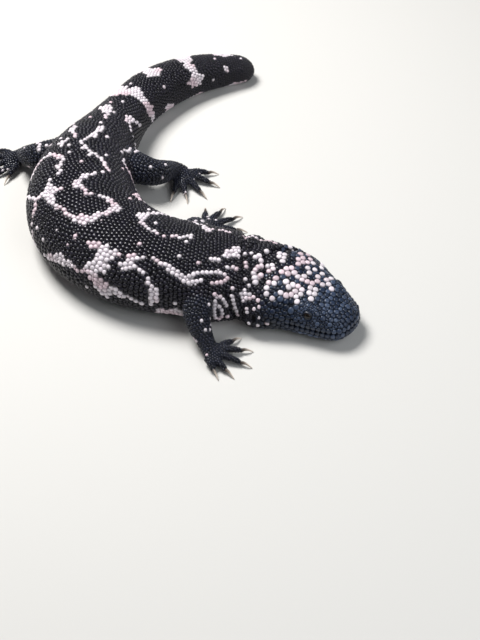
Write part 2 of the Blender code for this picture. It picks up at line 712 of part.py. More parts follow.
def end_nodes(name, limb, rows):
    """The hand or foot at the end of a limb, joined with its five digits, and its claws."""
    kind, side_word = name.rsplit("_", 1)
    end_name = f"{HAND_FROM[kind]}_{side_word}"
    rings = limb_rings(rows, np.linspace(2.0, 3.0, PALM_RINGS), PALM_SIDES, True, False)
    palm = new_object(end_name, *plain_faces(aligned(rings)))
    root = smooth_table(DIGIT_START, rows)
    along = (smooth_table(3.0, rows) - smooth_table(2.4, rows))[:2]
    heading = math.atan2(along[1], along[0])
    digits, claws = [], []
    for k, (turn, length) in enumerate(zip(limb["digit_yaw"], limb["digit_length"])):
        # The first digit is on the side nearest to the body's middle line in front
        yaw = heading - math.radians(turn) * limb["side"]
        spread = DIGIT_SPREAD * (k - 2) / 2 * limb["side"]
        across = np.array([-math.sin(heading), math.cos(heading)])
        start = root[:2] + across * spread
        ray = np.array([math.cos(yaw), math.sin(yaw)])
        reach = np.linspace(0.0, length + PALM_REACH, DIGIT_RINGS)
        height = smooth_table(np.linspace(0.0, 3.0, DIGIT_RINGS), list(enumerate(DIGIT_HEIGHTS)))[:, 0]
        centres = np.concatenate([start + ray * reach[:, None], height[:, None]], 1)
        thick = np.linspace(DIGIT_ROOT, DIGIT_TIP, DIGIT_RINGS)
        digit = tube(centres, thick, thick, DIGIT_SIDES)
        digits.append(new_object(f"{end_name}_digit_{k}", *plain_faces(digit)))
        claws.append(make_claw(f"{end_name}_claw_{k + 1}", centres))
    combine(palm, digits, "UNION")
    return [palm, *claws]


def aligned(rings):
    """The rings with their half turns taken out, so that corner follows corner."""
    base = rings[0][0]
    out = []
    for turns, place in rings:
        shift = turns[0] - base[0]
        if abs(shift) > 1e-9:
            place = (place + np.roll(place, 1, axis=0)) / 2
        out.append((base, place))
    return out


def make_claw(name, centres):
    """A claw that carries on from the last two rings of a digit, arched and down to a point."""
    tip = centres[-1]
    along = (tip - centres[-2]) / np.linalg.norm(tip - centres[-2])
    flat = np.array([along[0], along[1], 0.0])
    flat /= np.linalg.norm(flat)
    t = np.linspace(0.0, 1.0, CLAW_RINGS)
    start = tip + along * GAP
    drop = (start[2] - CLAW_TIP - CLAW_FLOOR) * t**2
    arch = CLAW_ARCH * np.sin(math.pi * t) * (1 - t)
    path = start + flat * CLAW_LENGTH * t[:, None]
    path[:, 2] += arch - drop
    thick = CLAW_ROOT + (CLAW_TIP - CLAW_ROOT) * t**0.9
    rings = tube(path, thick * CLAW_FLAT, thick, CLAW_SIDES)
    turns = rings[0][0]
    rings[0] = (turns, oval(start, along, thick[0] * CLAW_FLAT, thick[0], turns))
    return new_object(name, *plain_faces(rings))


def finish_of(name):
    """The finish that a node is given: skin, horn or eye."""
    if "claw" in name:
        return "claw_horn"
    return "eye_gloss" if name.startswith("eye") else "beaded_skin"


FINISHES = {
    "beaded_skin": ((0.035, 0.033, 0.042), 0.45),
    "claw_horn": ((0.62, 0.56, 0.5), 0.4),
    "eye_gloss": ((0.012, 0.01, 0.01), 0.08),
}


def make_material(name, colour, roughness):
    material = bpy.data.materials.new(name)
    material.use_nodes = True
    shader = material.node_tree.nodes["Principled BSDF"]
    shader.inputs["Base Color"].default_value = (*colour, 1.0)
    shader.inputs["Roughness"].default_value = roughness
    shader.inputs["Metallic"].default_value = 0.0
    return material


def main():
    head, jaw, eyes = make_head()
    nodes = [head, jaw, *eyes]
    roots = {"chest": [], "hips": []}
    for name, limb in LIMBS.items():
        roots["chest" if name.startswith("foreleg") else "hips"].append(limb)
    for name, first, last, pitch, bead in LENGTHS[1:]:
        nodes.append(make_length(name, first, last, pitch, bead, roots.get(name, ())))
    sizes = {row[0]: row[1:] for row in LENGTHS}
    for name, limb in LIMBS.items():
        grows_from = "chest" if name.startswith("foreleg") else "hips"

        def cutter(label, grows_from=grows_from):
            return make_length(label, *sizes[grows_from], roots[grows_from], GAP)

        nodes += limb_nodes(name, limb, cutter)
    materials = {name: make_material(name, *look) for name, look in FINISHES.items()}
    for node in nodes:
        node.data.materials.clear()
        node.data.materials.append(materials[finish_of(node.name)])
    return nodes


NODES = main()
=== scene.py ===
# %% [markdown]
# # Gila monster
# A life-size gila monster lies on its belly with its head turned to the right. One dark skin covers
# the whole animal, and every scale is a bead of solid mesh on it. Particles or geometry nodes could
# scatter the beads, but real beads are packed in rows that change size and shape all over the body,
# so each bead's place is worked out here and its mesh fills the room that it has. Lengths are in
# millimetres until a mesh is made. A place on the body is a station, the distance from the snout
# along the spine, and an angle round the section there, 0 on the back and growing to the left.

# %% Load the frame
import json
import math

import bmesh
import bpy
import numpy as np
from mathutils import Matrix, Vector
from mathutils.bvhtree import BVHTree
from mathutils.kdtree import KDTree

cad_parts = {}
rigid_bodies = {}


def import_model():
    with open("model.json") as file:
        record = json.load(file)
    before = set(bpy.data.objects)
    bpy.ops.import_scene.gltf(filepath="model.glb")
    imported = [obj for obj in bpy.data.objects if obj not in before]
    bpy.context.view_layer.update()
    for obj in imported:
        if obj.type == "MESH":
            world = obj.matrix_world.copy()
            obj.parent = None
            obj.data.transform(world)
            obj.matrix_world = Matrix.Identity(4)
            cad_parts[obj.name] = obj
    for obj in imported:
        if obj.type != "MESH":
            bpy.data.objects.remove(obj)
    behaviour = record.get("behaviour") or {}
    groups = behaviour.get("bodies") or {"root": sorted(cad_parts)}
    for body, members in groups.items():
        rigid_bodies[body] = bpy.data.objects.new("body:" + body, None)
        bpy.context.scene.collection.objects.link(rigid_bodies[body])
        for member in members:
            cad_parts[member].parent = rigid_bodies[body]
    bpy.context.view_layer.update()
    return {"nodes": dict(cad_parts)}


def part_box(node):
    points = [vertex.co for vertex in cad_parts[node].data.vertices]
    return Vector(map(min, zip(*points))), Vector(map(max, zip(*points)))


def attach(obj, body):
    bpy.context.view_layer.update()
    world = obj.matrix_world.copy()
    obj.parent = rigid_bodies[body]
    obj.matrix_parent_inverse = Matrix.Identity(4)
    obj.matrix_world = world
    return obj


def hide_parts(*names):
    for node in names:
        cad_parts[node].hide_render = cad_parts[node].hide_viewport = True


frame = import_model()
rng = np.random.default_rng(11)
MM = 0.001

# %% [markdown]
# ## The body's sizes
# A gila monster is a low, thick cylinder: broad flat head, thick neck, heavy trunk, blunt tail and
# short stout limbs. It could be sculpted by eye. Here a table of sections gives half width, then the
# heights of the underside, the widest line and the back at each station. The solids were made from
# the same table, so the skin fits them everywhere.

# %% Sizes of the body
SNOUT_TO_VENT, TAIL = 291.0, 137.0
TOTAL = SNOUT_TO_VENT + TAIL
BELLY_STATION, HEAD_YAW = 188.0, -37.0
# Bends of the spine: first and last station, and the turn between them in degrees
SPINE_BENDS = ((47.0, 85.0, 37.0), (85.0, 279.0, -110.0), (287.0, 428.0, -58.0))
# Sections of the body: station, half width, and heights of the underside, the widest line and the back
BODY = np.array([
    (0.0, 12.0, 1.8, 9.4, 16.8), (9.5, 15.4, 0.3, 9.4, 20.4), (22.0, 19.8, -0.5, 9.8, 24.4),
    (33.0, 23.6, -0.9, 11.0, 27.2), (44.0, 26.3, -1.0, 12.8, 29.2), (53.0, 27.0, -0.9, 13.8, 31.0),
    (61.0, 25.4, -0.8, 13.6, 31.8), (71.0, 25.8, -0.9, 14.0, 34.0), (85.0, 28.4, -1.3, 15.0, 38.5),
    (99.0, 30.2, -1.7, 16.5, 41.0), (125.0, 32.6, -2.0, 18.0, 43.0), (163.0, 35.5, -2.4, 18.5, 45.0),
    (203.0, 36.5, -2.4, 18.5, 45.0), (238.0, 32.0, -2.0, 18.5, 43.0), (265.0, 26.0, -1.6, 18.0, 40.0),
    (289.0, 20.0, -1.2, 16.5, 35.5), (309.0, 17.0, -1.0, 15.0, 32.0), (345.0, 16.0, -0.9, 14.0, 30.0),
    (381.0, 13.6, -0.8, 12.2, 26.0), (411.0, 10.6, -0.7, 9.8, 20.5), (428.0, 8.4, -0.6, 8.0, 16.0),
])
SQUARENESS = 2.3
# Loose skin that bunches out on the right, where the neck bends
BUNCH_STATION, BUNCH_LONG, BUNCH_OUT, BUNCH_ANGLE = 70.0, 17.0, 7.0, -105.0
# Throat and chest sag out on the right, all one way, so that the bend can't pinch them: the station of
# each bag of loose skin, its size along the body and how far it hangs out
SAGS, SAG_ANGLE, SAG_WAY = ((57.0, 15.0, 7.5), (97.0, 11.0, 5.5)), -120.0, np.array([-0.17, -0.985])
# Rounded ends: how long the rounding is, the height of its middle and its squareness
SNOUT_END, TAIL_END = (10.0, 10.2, 2.4), (11.0, 7.0, 2.0)
BROW_STATION, BROW_ACROSS, BROW_OUT, BROW_UP = 22.0, 13.0, 1.5, 1.4
BROW_LONG, BROW_WIDE = 7.0, 4.0
# Each limb: its station, its side, the name of its hand or foot, its joints from the body outward as
# forward, out, height, half width and half height, and the yaws and lengths of its digits
LIMB_VALUES = ("station", "side", "end", "joints", "digit_yaw", "digit_length")
HIND_DIGITS = (9.0, 12.5, 15.0, 14.5, 10.0)
LIMBS = {
    "foreleg_right": (
        96.0, -1, "hand_right",
        ((1, 8, 22, 11, 11), (-10, 34, 19, 8.6, 8.4), (-3.8, 50.8, 7, 5.3, 5), (3.2, 58.2, 3.6, 6.3, 3.5)),
        (81.0, 48.0, 22.0, -4.0, -22.0), (7.5, 12.5, 15.0, 11.0, 6.0),
    ),
    "foreleg_left": (
        96.0, 1, "hand_left",
        ((0, 8, 22, 11, 11), (-14, 34, 19, 8.6, 8.4), (-9, 49, 7, 5.6, 5), (-2, 57, 3.6, 6.6, 3.5)),
        (72.0, 42.0, 12.0, -16.0, -46.0), (7.5, 12.5, 15.0, 13.0, 8.5),
    ),
    "hind_leg_right": (
        261.0, -1, "foot_right",
        ((-2, 6, 20, 13, 12), (13, 36, 19.5, 9.2, 8.8), (3, 53, 7.8, 6, 5.2), (9, 62.5, 3.7, 7.2, 3.6)),
        (40.0, 18.0, -4.0, -28.0, -56.0), HIND_DIGITS,
    ),
    "hind_leg_left": (
        261.0, 1, "foot_left",
        ((-2, 6, 20, 13, 12), (4, 40, 18, 9.6, 9.2), (-14, 52, 7.5, 6.2, 5.4), (-10, 64, 3.7, 7.2, 3.6)),
        (58.0, 31.0, 4.0, -24.0, -54.0), HIND_DIGITS,
    ),
}
LIMBS = {name: dict(zip(LIMB_VALUES, values)) for name, values in LIMBS.items()}
DIGITS = range(5)
DIGIT_START, DIGIT_SPREAD, DIGIT_ROOT, DIGIT_TIP = 2.5, 5.0, 2.7, 1.8
DIGIT_HEIGHTS = (3.8, 4.6, 3.8, 2.0)
CLAW_LENGTH, CLAW_ROOT, CLAW_TIP, CLAW_ARCH, CLAW_FLOOR = 6.2, 1.5, 0.25, 1.3, 0.15
CLAW_SUNK = 1.0
print("length along the spine:", TOTAL, "mm")

# %% [markdown]
# ## The spine and its sections
# The animal rests in one lazy bend. An armature or a Curve modifier could bend a straight body, but
# both squeeze the inside of the bend. Here the direction of a flat spine turns smoothly through three
# bends, and each section, a superellipse with its own upper and lower height, stands square to it.

# %% Spine and section formulas


def smooth_step(t):
    """0 before 0, 1 after 1, and 3t^2 - 2t^3 between."""
    t = np.clip(t, 0.0, 1.0)
    return t * t * (3.0 - 2.0 * t)


def hollow(apart, size):
    """A bell: 1 at no distance, fading out at about twice this size."""
    return np.exp(-((apart / size) ** 2))


def length_of(vectors):
    """The length of each vector."""
    return np.linalg.norm(vectors, axis=-1)


def unit(vectors):
    """The vectors at length one."""
    return vectors / np.maximum(length_of(vectors), 1e-9)[..., None]


def level_beside(way):
    """The level direction square to another one: upright crossed with it."""
    return unit(np.cross([0.0, 0.0, 1.0], way))


def direction(angle):
    """The flat direction at an angle: its cosine and sine."""
    return np.stack([np.cos(angle), np.sin(angle)], -1)


def run_along(line):
    """How far along a line of points each one lies."""
    return np.concatenate([[0.0], length_of(np.diff(line, axis=0)).cumsum()])


def at_runs(wanted, run, line):
    """The places at these distances along a line, straight between its points."""
    return np.stack([np.interp(wanted, run, column) for column in line.T], -1)


def smooth_table(x, rows):
    """A table's columns at x: a cubic through the rows, its slopes taken from their neighbours."""
    rows = np.asarray(rows, float)
    knots, values = rows[:, 0], rows[:, 1:]
    slopes = np.gradient(values, knots, axis=0)
    x = np.clip(np.asarray(x, float), knots[0], knots[-1])
    low = np.clip(np.searchsorted(knots, x, side="right") - 1, 0, len(knots) - 2)
    step = (knots[low + 1] - knots[low])[..., None]
    t = (x - knots[low])[..., None] / step
    start = values[low] * (1 + 2 * t) * (1 - t) ** 2 + slopes[low] * step * t * (1 - t) ** 2
    end = values[low + 1] * t * t * (3 - 2 * t) - slopes[low + 1] * step * t * t * (1 - t)
    return start + end


def spine_yaw(station):
    """Which way the body faces at a station, in radians round +Z."""
    turns = [turn * smooth_step((station - a) / (b - a)) for a, b, turn in SPINE_BENDS]
    return np.radians(HEAD_YAW + sum(turns))


SPINE_STATIONS = np.arange(0.0, TOTAL + 0.5, 0.5)
yaw_between = spine_yaw(SPINE_STATIONS - 0.25)
steps = -0.5 * direction(yaw_between)
steps[0] = 0.0
SPINE_PLACES = np.cumsum(steps, axis=0)
SPINE_PLACES = SPINE_PLACES - at_runs(BELLY_STATION, SPINE_STATIONS, SPINE_PLACES)


def spine_frame(station):
    """Place, forward and left of the spine at a station, as flat vectors."""
    station = np.asarray(station, float)
    yaw = spine_yaw(station)
    forward = direction(yaw)
    left = np.stack([-np.sin(yaw), np.cos(yaw)], -1)
    return at_runs(station, SPINE_STATIONS, SPINE_PLACES), forward, left


def rounded(distance, end):
    """How much of its full size a section keeps this far from a rounded end."""
    t = np.clip(1.0 - distance / end[0], 0.0, 1.0)
    return (1.0 - t ** end[2]) ** (1.0 / end[2])


def facing(angle, degrees):
    """1 at one angle round the section, falling to 0 a quarter turn away: a cosine, squared."""
    return np.maximum(np.cos(angle - math.radians(degrees)), 0.0) ** 2


def body_local(station, angle):
    """Distance across to the left and height of the skin, with the brow ridges and the bunched neck."""
    width, under, widest, back = np.moveaxis(smooth_table(station, BODY), -1, 0)
    keep = rounded(station, SNOUT_END) * rounded(TOTAL - station, TAIL_END)
    middle = np.where(station < TOTAL / 2, SNOUT_END[1], TAIL_END[1])
    under, widest, back = (middle + (z - middle) * keep for z in (under, widest, back))
    sine, cosine = np.sin(angle), np.cos(angle)
    power = 2.0 / SQUARENESS
    across = width * keep * np.sign(sine) * np.abs(sine) ** power
    reach = np.where(cosine > 0, back - widest, widest - under)
    height = widest + reach * np.sign(cosine) * np.abs(cosine) ** power
    along = ((station - BROW_STATION) / BROW_LONG) ** 2
    brow = np.exp(-along - ((np.abs(across) - BROW_ACROSS) / BROW_WIDE) ** 2) * (cosine > 0)
    across = across + np.sign(sine) * BROW_OUT * brow
    bunch = facing(angle, BUNCH_ANGLE)
    across = across - BUNCH_OUT * bunch * hollow(station - BUNCH_STATION, BUNCH_LONG)
    return across, height + BROW_UP * brow


def sagging(station, angle):
    """How far the loose skin hangs out: bells along the body times the square of a cosine round it."""
    bells = sum(out * hollow(station - at, size) for at, size, out in SAGS)
    return facing(angle, SAG_ANGLE) * bells


def body_point(station, angle):
    """Points of the animal's surface, flat where it lies on the floor."""
    station, angle = np.broadcast_arrays(np.asarray(station, float), np.asarray(angle, float))
    place, _, left = spine_frame(station)
    across, height = body_local(station, angle)
    flat = place + left * across[..., None] + SAG_WAY * sagging(station, angle)[..., None]
    return np.concatenate([flat, np.maximum(height, 0.0)[..., None]], -1)


def outward_at(station, angle):
    """The direction straight out of the surface at a station and angle."""
    here = body_point(station, angle)
    back = body_point(station + 0.5, angle) - here
    round_ = body_point(station, angle + 0.02) - here
    return unit(np.cross(round_, back))


print("snout at", np.round(body_point(0.0, 0.0), 1), "tail tip at", np.round(body_point(TOTAL, 0.0), 1))

# %% [markdown]
# ## Where things sit on the head
# Eyes, nostrils, ears, lips and the folds of the neck are dents with raised rims. They could be cut
# with Booleans, which leave hard edges. Here bell-shaped dents and swellings are added to the smooth
# surface, each with a depth and a width in millimetres. The line of the mouth dips below the eye and
# rises to its corner.

# %% Mouth, eyes, nostrils and ears
EYE_STATION, EYE_ANGLE, EYE_RADIUS, EYE_CLEAR = 23.0, 52.0, 3.0, 3.2
EAR_STATION, EAR_HEIGHT, EAR_LONG, EAR_TALL, EAR_DEPTH = 54.0, 14.5, 1.2, 2.7, 2.2
NOSTRIL_STATION, NOSTRIL_ANGLE, NOSTRIL_RADIUS, NOSTRIL_CLEAR = 5.2, 60.0, 1.1, 1.6
# Round eye and nostril: distance, width and height of the rim, then depth and size of the pit in it
EYE_RIM, NOSTRIL_RIM = (4.0, 1.2, 0.9, 2.6, 2.5), (2.1, 0.7, 0.5, 2.4, NOSTRIL_RADIUS)
# Lips: how far from the line of the mouth they swell, their width and height. The line: its depth and
# width. Cheeks, which swell by 1: their station and length, their height and how tall they are
LIP_SWELL, MOUTH_LINE, CHEEK = (2.3, 1.3, 0.5), (1.5, 0.9), (46, 9, 13, 8)
MOUTH_CORNER, MOUTH_FRONT, MOUTH_DIP, MOUTH_REAR = 33.0, 11.4, 10.9, 12.2
# Folds of the neck: station on the back, how far it runs forward per millimetre round, depth, width
# and the arc at which it starts. The last parts the neck's loose skin from the chest's. Behind each
# rises a ridge: how far behind, its width and its share of the depth.
FOLDS = (
    (79.5, 0.05, 3.2, 1.4, -10.0),
    (75.0, 0.22, 2.4, 1.2, -10.0),
    (66.5, 0.5, 3.3, 1.4, -10.0),
    (97.4, 0.27, 3.0, 1.5, 26.0),
)
RIDGE = (2.6, 1.6, 0.35)


def mouth_height(station):
    """Height of the line of the mouth at a station."""
    t = np.clip(np.asarray(station, float) / MOUTH_CORNER, 0.0, 1.0)
    rise = MOUTH_FRONT + (MOUTH_REAR - MOUTH_FRONT) * t
    return rise - (MOUTH_FRONT - MOUTH_DIP) * np.sin(math.pi * t)


def angle_at_height(station, level):
    """The angle, on the left side, at which the surface at a station has this height."""
    angle = np.linspace(0.05, math.pi - 0.05, 500)
    _, height = body_local(np.full(angle.shape, float(station)), angle)
    return angle[np.abs(height - level).argmin()]


def on_head(station, angle):
    """The place and outward direction of a feature on the left and on the right."""
    return [(body_point(station, s * angle), outward_at(station, s * angle)) for s in (1, -1)]


EYES = on_head(EYE_STATION, math.radians(EYE_ANGLE))
NOSTRILS = on_head(NOSTRIL_STATION, math.radians(NOSTRIL_ANGLE))
EARS = on_head(EAR_STATION, angle_at_height(EAR_STATION, EAR_HEIGHT))


def sculpt(points, station, arc):
    """How far the surface moves out or in: folds of the neck, mouth, lips, lids, nostrils, ears."""
    height = points[..., 2]
    move = np.zeros(station.shape)
    for at, lean, depth, width, first_arc in FOLDS:
        line = at - lean * np.abs(arc)
        depth = depth * smooth_step((height - 3) / 8) * smooth_step((np.abs(arc) - first_arc) / 8)
        move -= depth * hollow(station - line, width)
        move += RIDGE[2] * depth * hollow(station - line - RIDGE[0], RIDGE[1])
    gap = height - mouth_height(station)
    along = smooth_step((MOUTH_CORNER + 1.5 - station) / 3)
    lips = LIP_SWELL[2] * hollow(np.abs(gap) - LIP_SWELL[0], LIP_SWELL[1])
    move += along * (lips - MOUTH_LINE[0] * hollow(gap, MOUTH_LINE[1]))
    move += hollow(station - CHEEK[0], CHEEK[1]) * hollow(height - CHEEK[2], CHEEK[3])
    for places, (far, width, rise, depth, size) in ((EYES, EYE_RIM), (NOSTRILS, NOSTRIL_RIM)):
        for place, _ in places:
            apart = length_of(points - place)
            move += rise * hollow(apart - far, width) - depth * hollow(apart, size)
    for place, _ in EARS:
        offset = points - place
        tall, long_ = offset[..., 2] / EAR_TALL, length_of(offset[..., :2]) / EAR_LONG
        move -= EAR_DEPTH * np.exp(-(tall**4) - long_**2)
    return move


print("eyes at", [np.round(place, 1).tolist() for place, _ in EYES])

# %% [markdown]
# ## Grids for the body, the limbs and the digits
# Trunk, limbs and digits are all tubes that change size along their length. Each could be a curve
# with a bevel. A two-parameter grid, rows along the length and columns round it, is used because its
# numbers are at hand, and the same grid later tells where a bead lies on the body.

# %% Grids


def arcs_of(points):
    """Distance round each row from its column in the middle, which lies on the back."""
    run = length_of(np.diff(points, axis=-2)).cumsum(axis=-1)
    run = np.concatenate([np.zeros((*run.shape[:-1], 1)), run], -1)
    return run - run[..., run.shape[-1] // 2][..., None]


def body_grid(stations, columns):
    """The body's surface with its modelling. The last column repeats the first."""
    angle = np.linspace(-math.pi, math.pi, columns + 1)
    station, angle = np.meshgrid(stations, angle, indexing="ij")
    points = body_point(station, angle)
    arc = arcs_of(points)
    out = unit(np.cross(np.gradient(points, axis=1), np.gradient(points, axis=0)))
    points = points + out * sculpt(points, station, arc)[..., None]
    points[..., 2] = np.maximum(points[..., 2], 0.0)
    return points, station, arc


def limb_rows(limb):
    """The limb's joints in the world: run, place, half width and half height of each."""
    place, forward, left = spine_frame(limb["station"])
    joints = np.array(limb["joints"])
    flat = place + forward * joints[:, :1] + left * limb["side"] * joints[:, 1:2]
    return np.concatenate([np.arange(len(joints))[:, None], flat, joints[:, 2:]], 1)


def tube_grid(centres, half_widths, half_heights, columns, turn=0.0):
    """Ovals square to a path, level across. turn starts each row part of a column round."""
    along = unit(np.gradient(centres, axis=0))
    across = level_beside(along)
    up = np.cross(along, across)
    angle = (np.arange(columns) + np.asarray(turn).reshape(-1, 1)) * 2 * math.pi / columns
    angle = np.broadcast_to(angle, (len(centres), columns))[..., None]
    wide = np.cos(angle) * across[:, None] * half_widths[:, None, None]
    high = np.sin(angle) * up[:, None] * half_heights[:, None, None]
    points = centres[:, None] + wide + high
    points[..., 2] = np.maximum(points[..., 2], 0.0)
    return points


def limb_path(limb, count):
    """Evenly spaced centres, half widths and half heights from the shoulder or hip to the knuckles."""
    rows = limb_rows(limb)
    fine = np.linspace(0.0, 3.0, 300)
    run = run_along(smooth_table(fine, rows)[:, :3])
    runs = np.interp(np.linspace(0.0, run[-1], count), run, fine)
    path = smooth_table(runs, rows)
    return path[:, :3], path[:, 3], path[:, 4], runs


def digit_path(limb, k, count):
    """Centres and half widths of one digit, from inside the palm to its claw."""
    rows = limb_rows(limb)
    root = smooth_table(DIGIT_START, rows)
    ahead = (smooth_table(3.0, rows) - smooth_table(2.4, rows))[:2]
    heading = math.atan2(ahead[1], ahead[0])
    yaw = heading - math.radians(limb["digit_yaw"][k]) * limb["side"]
    across = np.array([-math.sin(heading), math.cos(heading)])
    start = root[:2] + across * DIGIT_SPREAD * (k - 2) / 2 * limb["side"]
    reach = np.linspace(0.0, limb["digit_length"][k] + 4.0, count)
    heights = np.stack([np.arange(4.0), DIGIT_HEIGHTS], 1)
    height = smooth_table(np.linspace(0.0, 3.0, count), heights)
    flat = start + np.array([math.cos(yaw), math.sin(yaw)]) * reach[:, None]
    return np.concatenate([flat, height], 1), np.linspace(DIGIT_ROOT, DIGIT_TIP, count)


# Rows close together on the head and neck, farther apart behind
SKIN_STATIONS = [[0.0, 0.1, 0.3], np.arange(0.7, 60, 0.7), np.arange(60, TOTAL, 1.4), [TOTAL]]
SKIN_COLUMNS = 180
skin_grid, grid_station, grid_arc = body_grid(np.concatenate(SKIN_STATIONS), SKIN_COLUMNS)
print("body grid", skin_grid.shape)

# %% [markdown]
# ## One skin
# The hide runs without a seam from the trunk into the limbs and digits. A Boolean union leaves thin
# faces at each join, and metaballs don't keep sizes. The voxel remesh takes any overlap and gives
# even faces. The limbs' roots are then smoothed, and the surface is drawn in by the depth of the
# beads, so that their tops reach the true outline.

# %% Build the skin
VOXEL, SKIN_DEPTH, SOLE = 1.0, 0.45, 0.42
# A digit reaches this far from its middle line and fades over this much. A limb's root ends at this
# part of its upper length, and its smoothing fades over this many millimetres and reaches this far
DIGIT_NEAR, DIGIT_FADE, ROOT_END, ROOT_FADE, ROOT_REACH = 2.6, 1.2, 0.75, 8, 30
# Rounds of smoothing, and how far each goes: everywhere, less on the digits, and at the limbs' roots
SMOOTH_ALL, SMOOTH_DIGITS, SMOOTH_ROOTS, ROUNDS_ALL, ROUNDS_ROOTS = 0.5, 0.35, 0.6, 4, 22


def grid_faces(rows, columns, start=0):
    """Quads of a grid whose columns close up on themselves."""
    row, column = np.meshgrid(np.arange(rows - 1), np.arange(columns), indexing="ij")
    a, b = row * columns + column, row * columns + (column + 1) % columns
    return np.stack([a, b, b + columns, a + columns], -1).reshape(-1, 4) + start


def capped(points, start=0):
    """A grid with closed columns as a solid: its points, quads and the fans over both ends."""
    rows, columns, _ = points.shape
    flat = np.concatenate([points.reshape(-1, 3), [points[0].mean(0)], [points[-1].mean(0)]])
    ring = np.arange(columns)
    beside, last = (ring + 1) % columns, (rows - 1) * columns
    first_fan = np.stack([beside, ring, np.full(columns, rows * columns)], 1) + start
    last_fan = np.stack([last + ring, last + beside, np.full(columns, rows * columns + 1)], 1) + start
    return flat, grid_faces(rows, columns, start), np.concatenate([first_fan, last_fan])


def capped_together(name, grids):
    """One mesh object of several closed solids, each a capped grid."""
    parts, start = [], 0
    for grid in grids:
        parts.append(capped(grid, start))
        start += len(parts[-1][0])
    points, quads, fans = zip(*parts)
    return mesh_object(name, np.concatenate(points), [*quads, *fans])


def mesh_object(name, points, faces):
    """A mesh object from points in millimetres and arrays of faces."""
    mesh = bpy.data.meshes.new(name)
    lists = [face.tolist() for face in faces]
    mesh.from_pydata((np.asarray(points) * MM).tolist(), [], [f for group in lists for f in group])
    made = bpy.data.objects.new(name, mesh)
    bpy.context.scene.collection.objects.link(made)
    return made


def read(items, name, width, kind=float):
    """One value of every point, edge or corner of a mesh, as the rows of an array."""
    values = np.empty(len(items) * width, kind)
    items.foreach_get(name, values)
    return values.reshape(-1, width)


def set_points(mesh, points):
    """Moves a mesh's points to these places, given in millimetres."""
    mesh.vertices.foreach_set("co", (points * MM).ravel())
    mesh.update()


def flesh_grids():
    """The grids of the flesh: the body, each limb, and its digits, blunt at the end."""
    grids = [skin_grid[:, :-1]]
    for limb in LIMBS.values():
        centres, wide, high, _ = limb_path(limb, 60)
        grids.append(tube_grid(centres, wide, high, 40))
        for k in DIGITS:
            centres, thick = digit_path(limb, k, 24)
            thick = thick * np.sqrt(1 - np.linspace(0, 1, 24) ** 14 * 0.6)
            grids.append(tube_grid(centres, thick, thick, 20))
    return grids


def build_skin():
    """The flesh as one remeshed surface."""
    made = capped_together("skin", flesh_grids())
    bm = bmesh.new()
    bm.from_mesh(made.data)
    bmesh.ops.recalc_face_normals(bm, faces=bm.faces)
    bm.to_mesh(made.data)
    bm.free()
    remesh = made.modifiers.new("one_surface", "REMESH")
    remesh.mode, remesh.voxel_size, remesh.adaptivity = "VOXEL", VOXEL * MM, 0.0
    graph = bpy.context.evaluated_depsgraph_get()
    made.data = bpy.data.meshes.new_from_object(made.evaluated_get(graph))
    made.modifiers.clear()
    return made


def relax(mesh, points, amount, rounds):
    """Moves each point towards the middle of its neighbours, by an amount of its own."""
    a, b = read(mesh.edges, "vertices", 2, np.int32).T
    count = len(points)
    degree = np.bincount(a, minlength=count) + np.bincount(b, minlength=count)
    for _ in range(rounds):
        sums = [np.bincount(a, points[b, k], count) + np.bincount(b, points[a, k], count) for k in range(3)]
        points = points + (np.stack(sums, 1) / degree[:, None] - points) * amount[:, None]
    return points


def near_digits(points):
    """1 on the digits, fading to 0 a little away from their middle lines."""
    apart = np.full(len(points), 99.0)
    for limb in LIMBS.values():
        for k in DIGITS:
            centres = digit_path(limb, k, 16)[0][5:]
            apart = np.minimum(apart, length_of(points[:, None] - centres).min(1))
    return 1 - smooth_step((apart - DIGIT_NEAR) / DIGIT_FADE)


def near_roots(points):
    """1 where a limb grows from the trunk, fading to 0 away from the join."""
    near = np.zeros(len(points))
    for limb in LIMBS.values():
        centres, wide, _, runs = limb_path(limb, 40)
        root = runs < ROOT_END
        apart = length_of(points[:, None] - centres[root]) - wide[root]
        near = np.maximum(near, 1 - smooth_step((apart.min(1) - 1) / ROOT_FADE))
        near *= 1 - smooth_step((length_of(points - centres[0]) - ROOT_REACH) / ROOT_FADE) * (near > 0)
    return near


skin = build_skin()
points = read(skin.data.vertices, "co", 3) / MM
on_digit = near_digits(points)
points = relax(skin.data, points, SMOOTH_ALL - SMOOTH_DIGITS * on_digit, ROUNDS_ALL)
points = relax(skin.data, points, near_roots(points) * SMOOTH_ROOTS, ROUNDS_ROOTS)
set_points(skin.data, points)
normals = read(skin.data.vertices, "normal", 3)
points = points - normals * (SKIN_DEPTH - 0.15 * on_digit)[:, None]
points[:, 2] = np.maximum(points[:, 2], SOLE)
set_points(skin.data, points)
skin_points = points
skin_tree = BVHTree.FromPolygons(points.tolist(), [p.vertices[:] for p in skin.data.polygons])
print("skin points:", len(points), "faces:", len(skin.data.polygons))

# %% [markdown]
# ## Where the pale marks lie
# A gila monster's marks follow its scales: each bead is wholly pale or wholly dark. The marks could
# be painted as a picture, which would blur over the edges of the beads. They are written down as
# places instead, a station and an arc, the distance round from the middle of the back, less than 0 to
# the right. On the head each pale scale stands by itself. On neck and shoulder they are strokes.

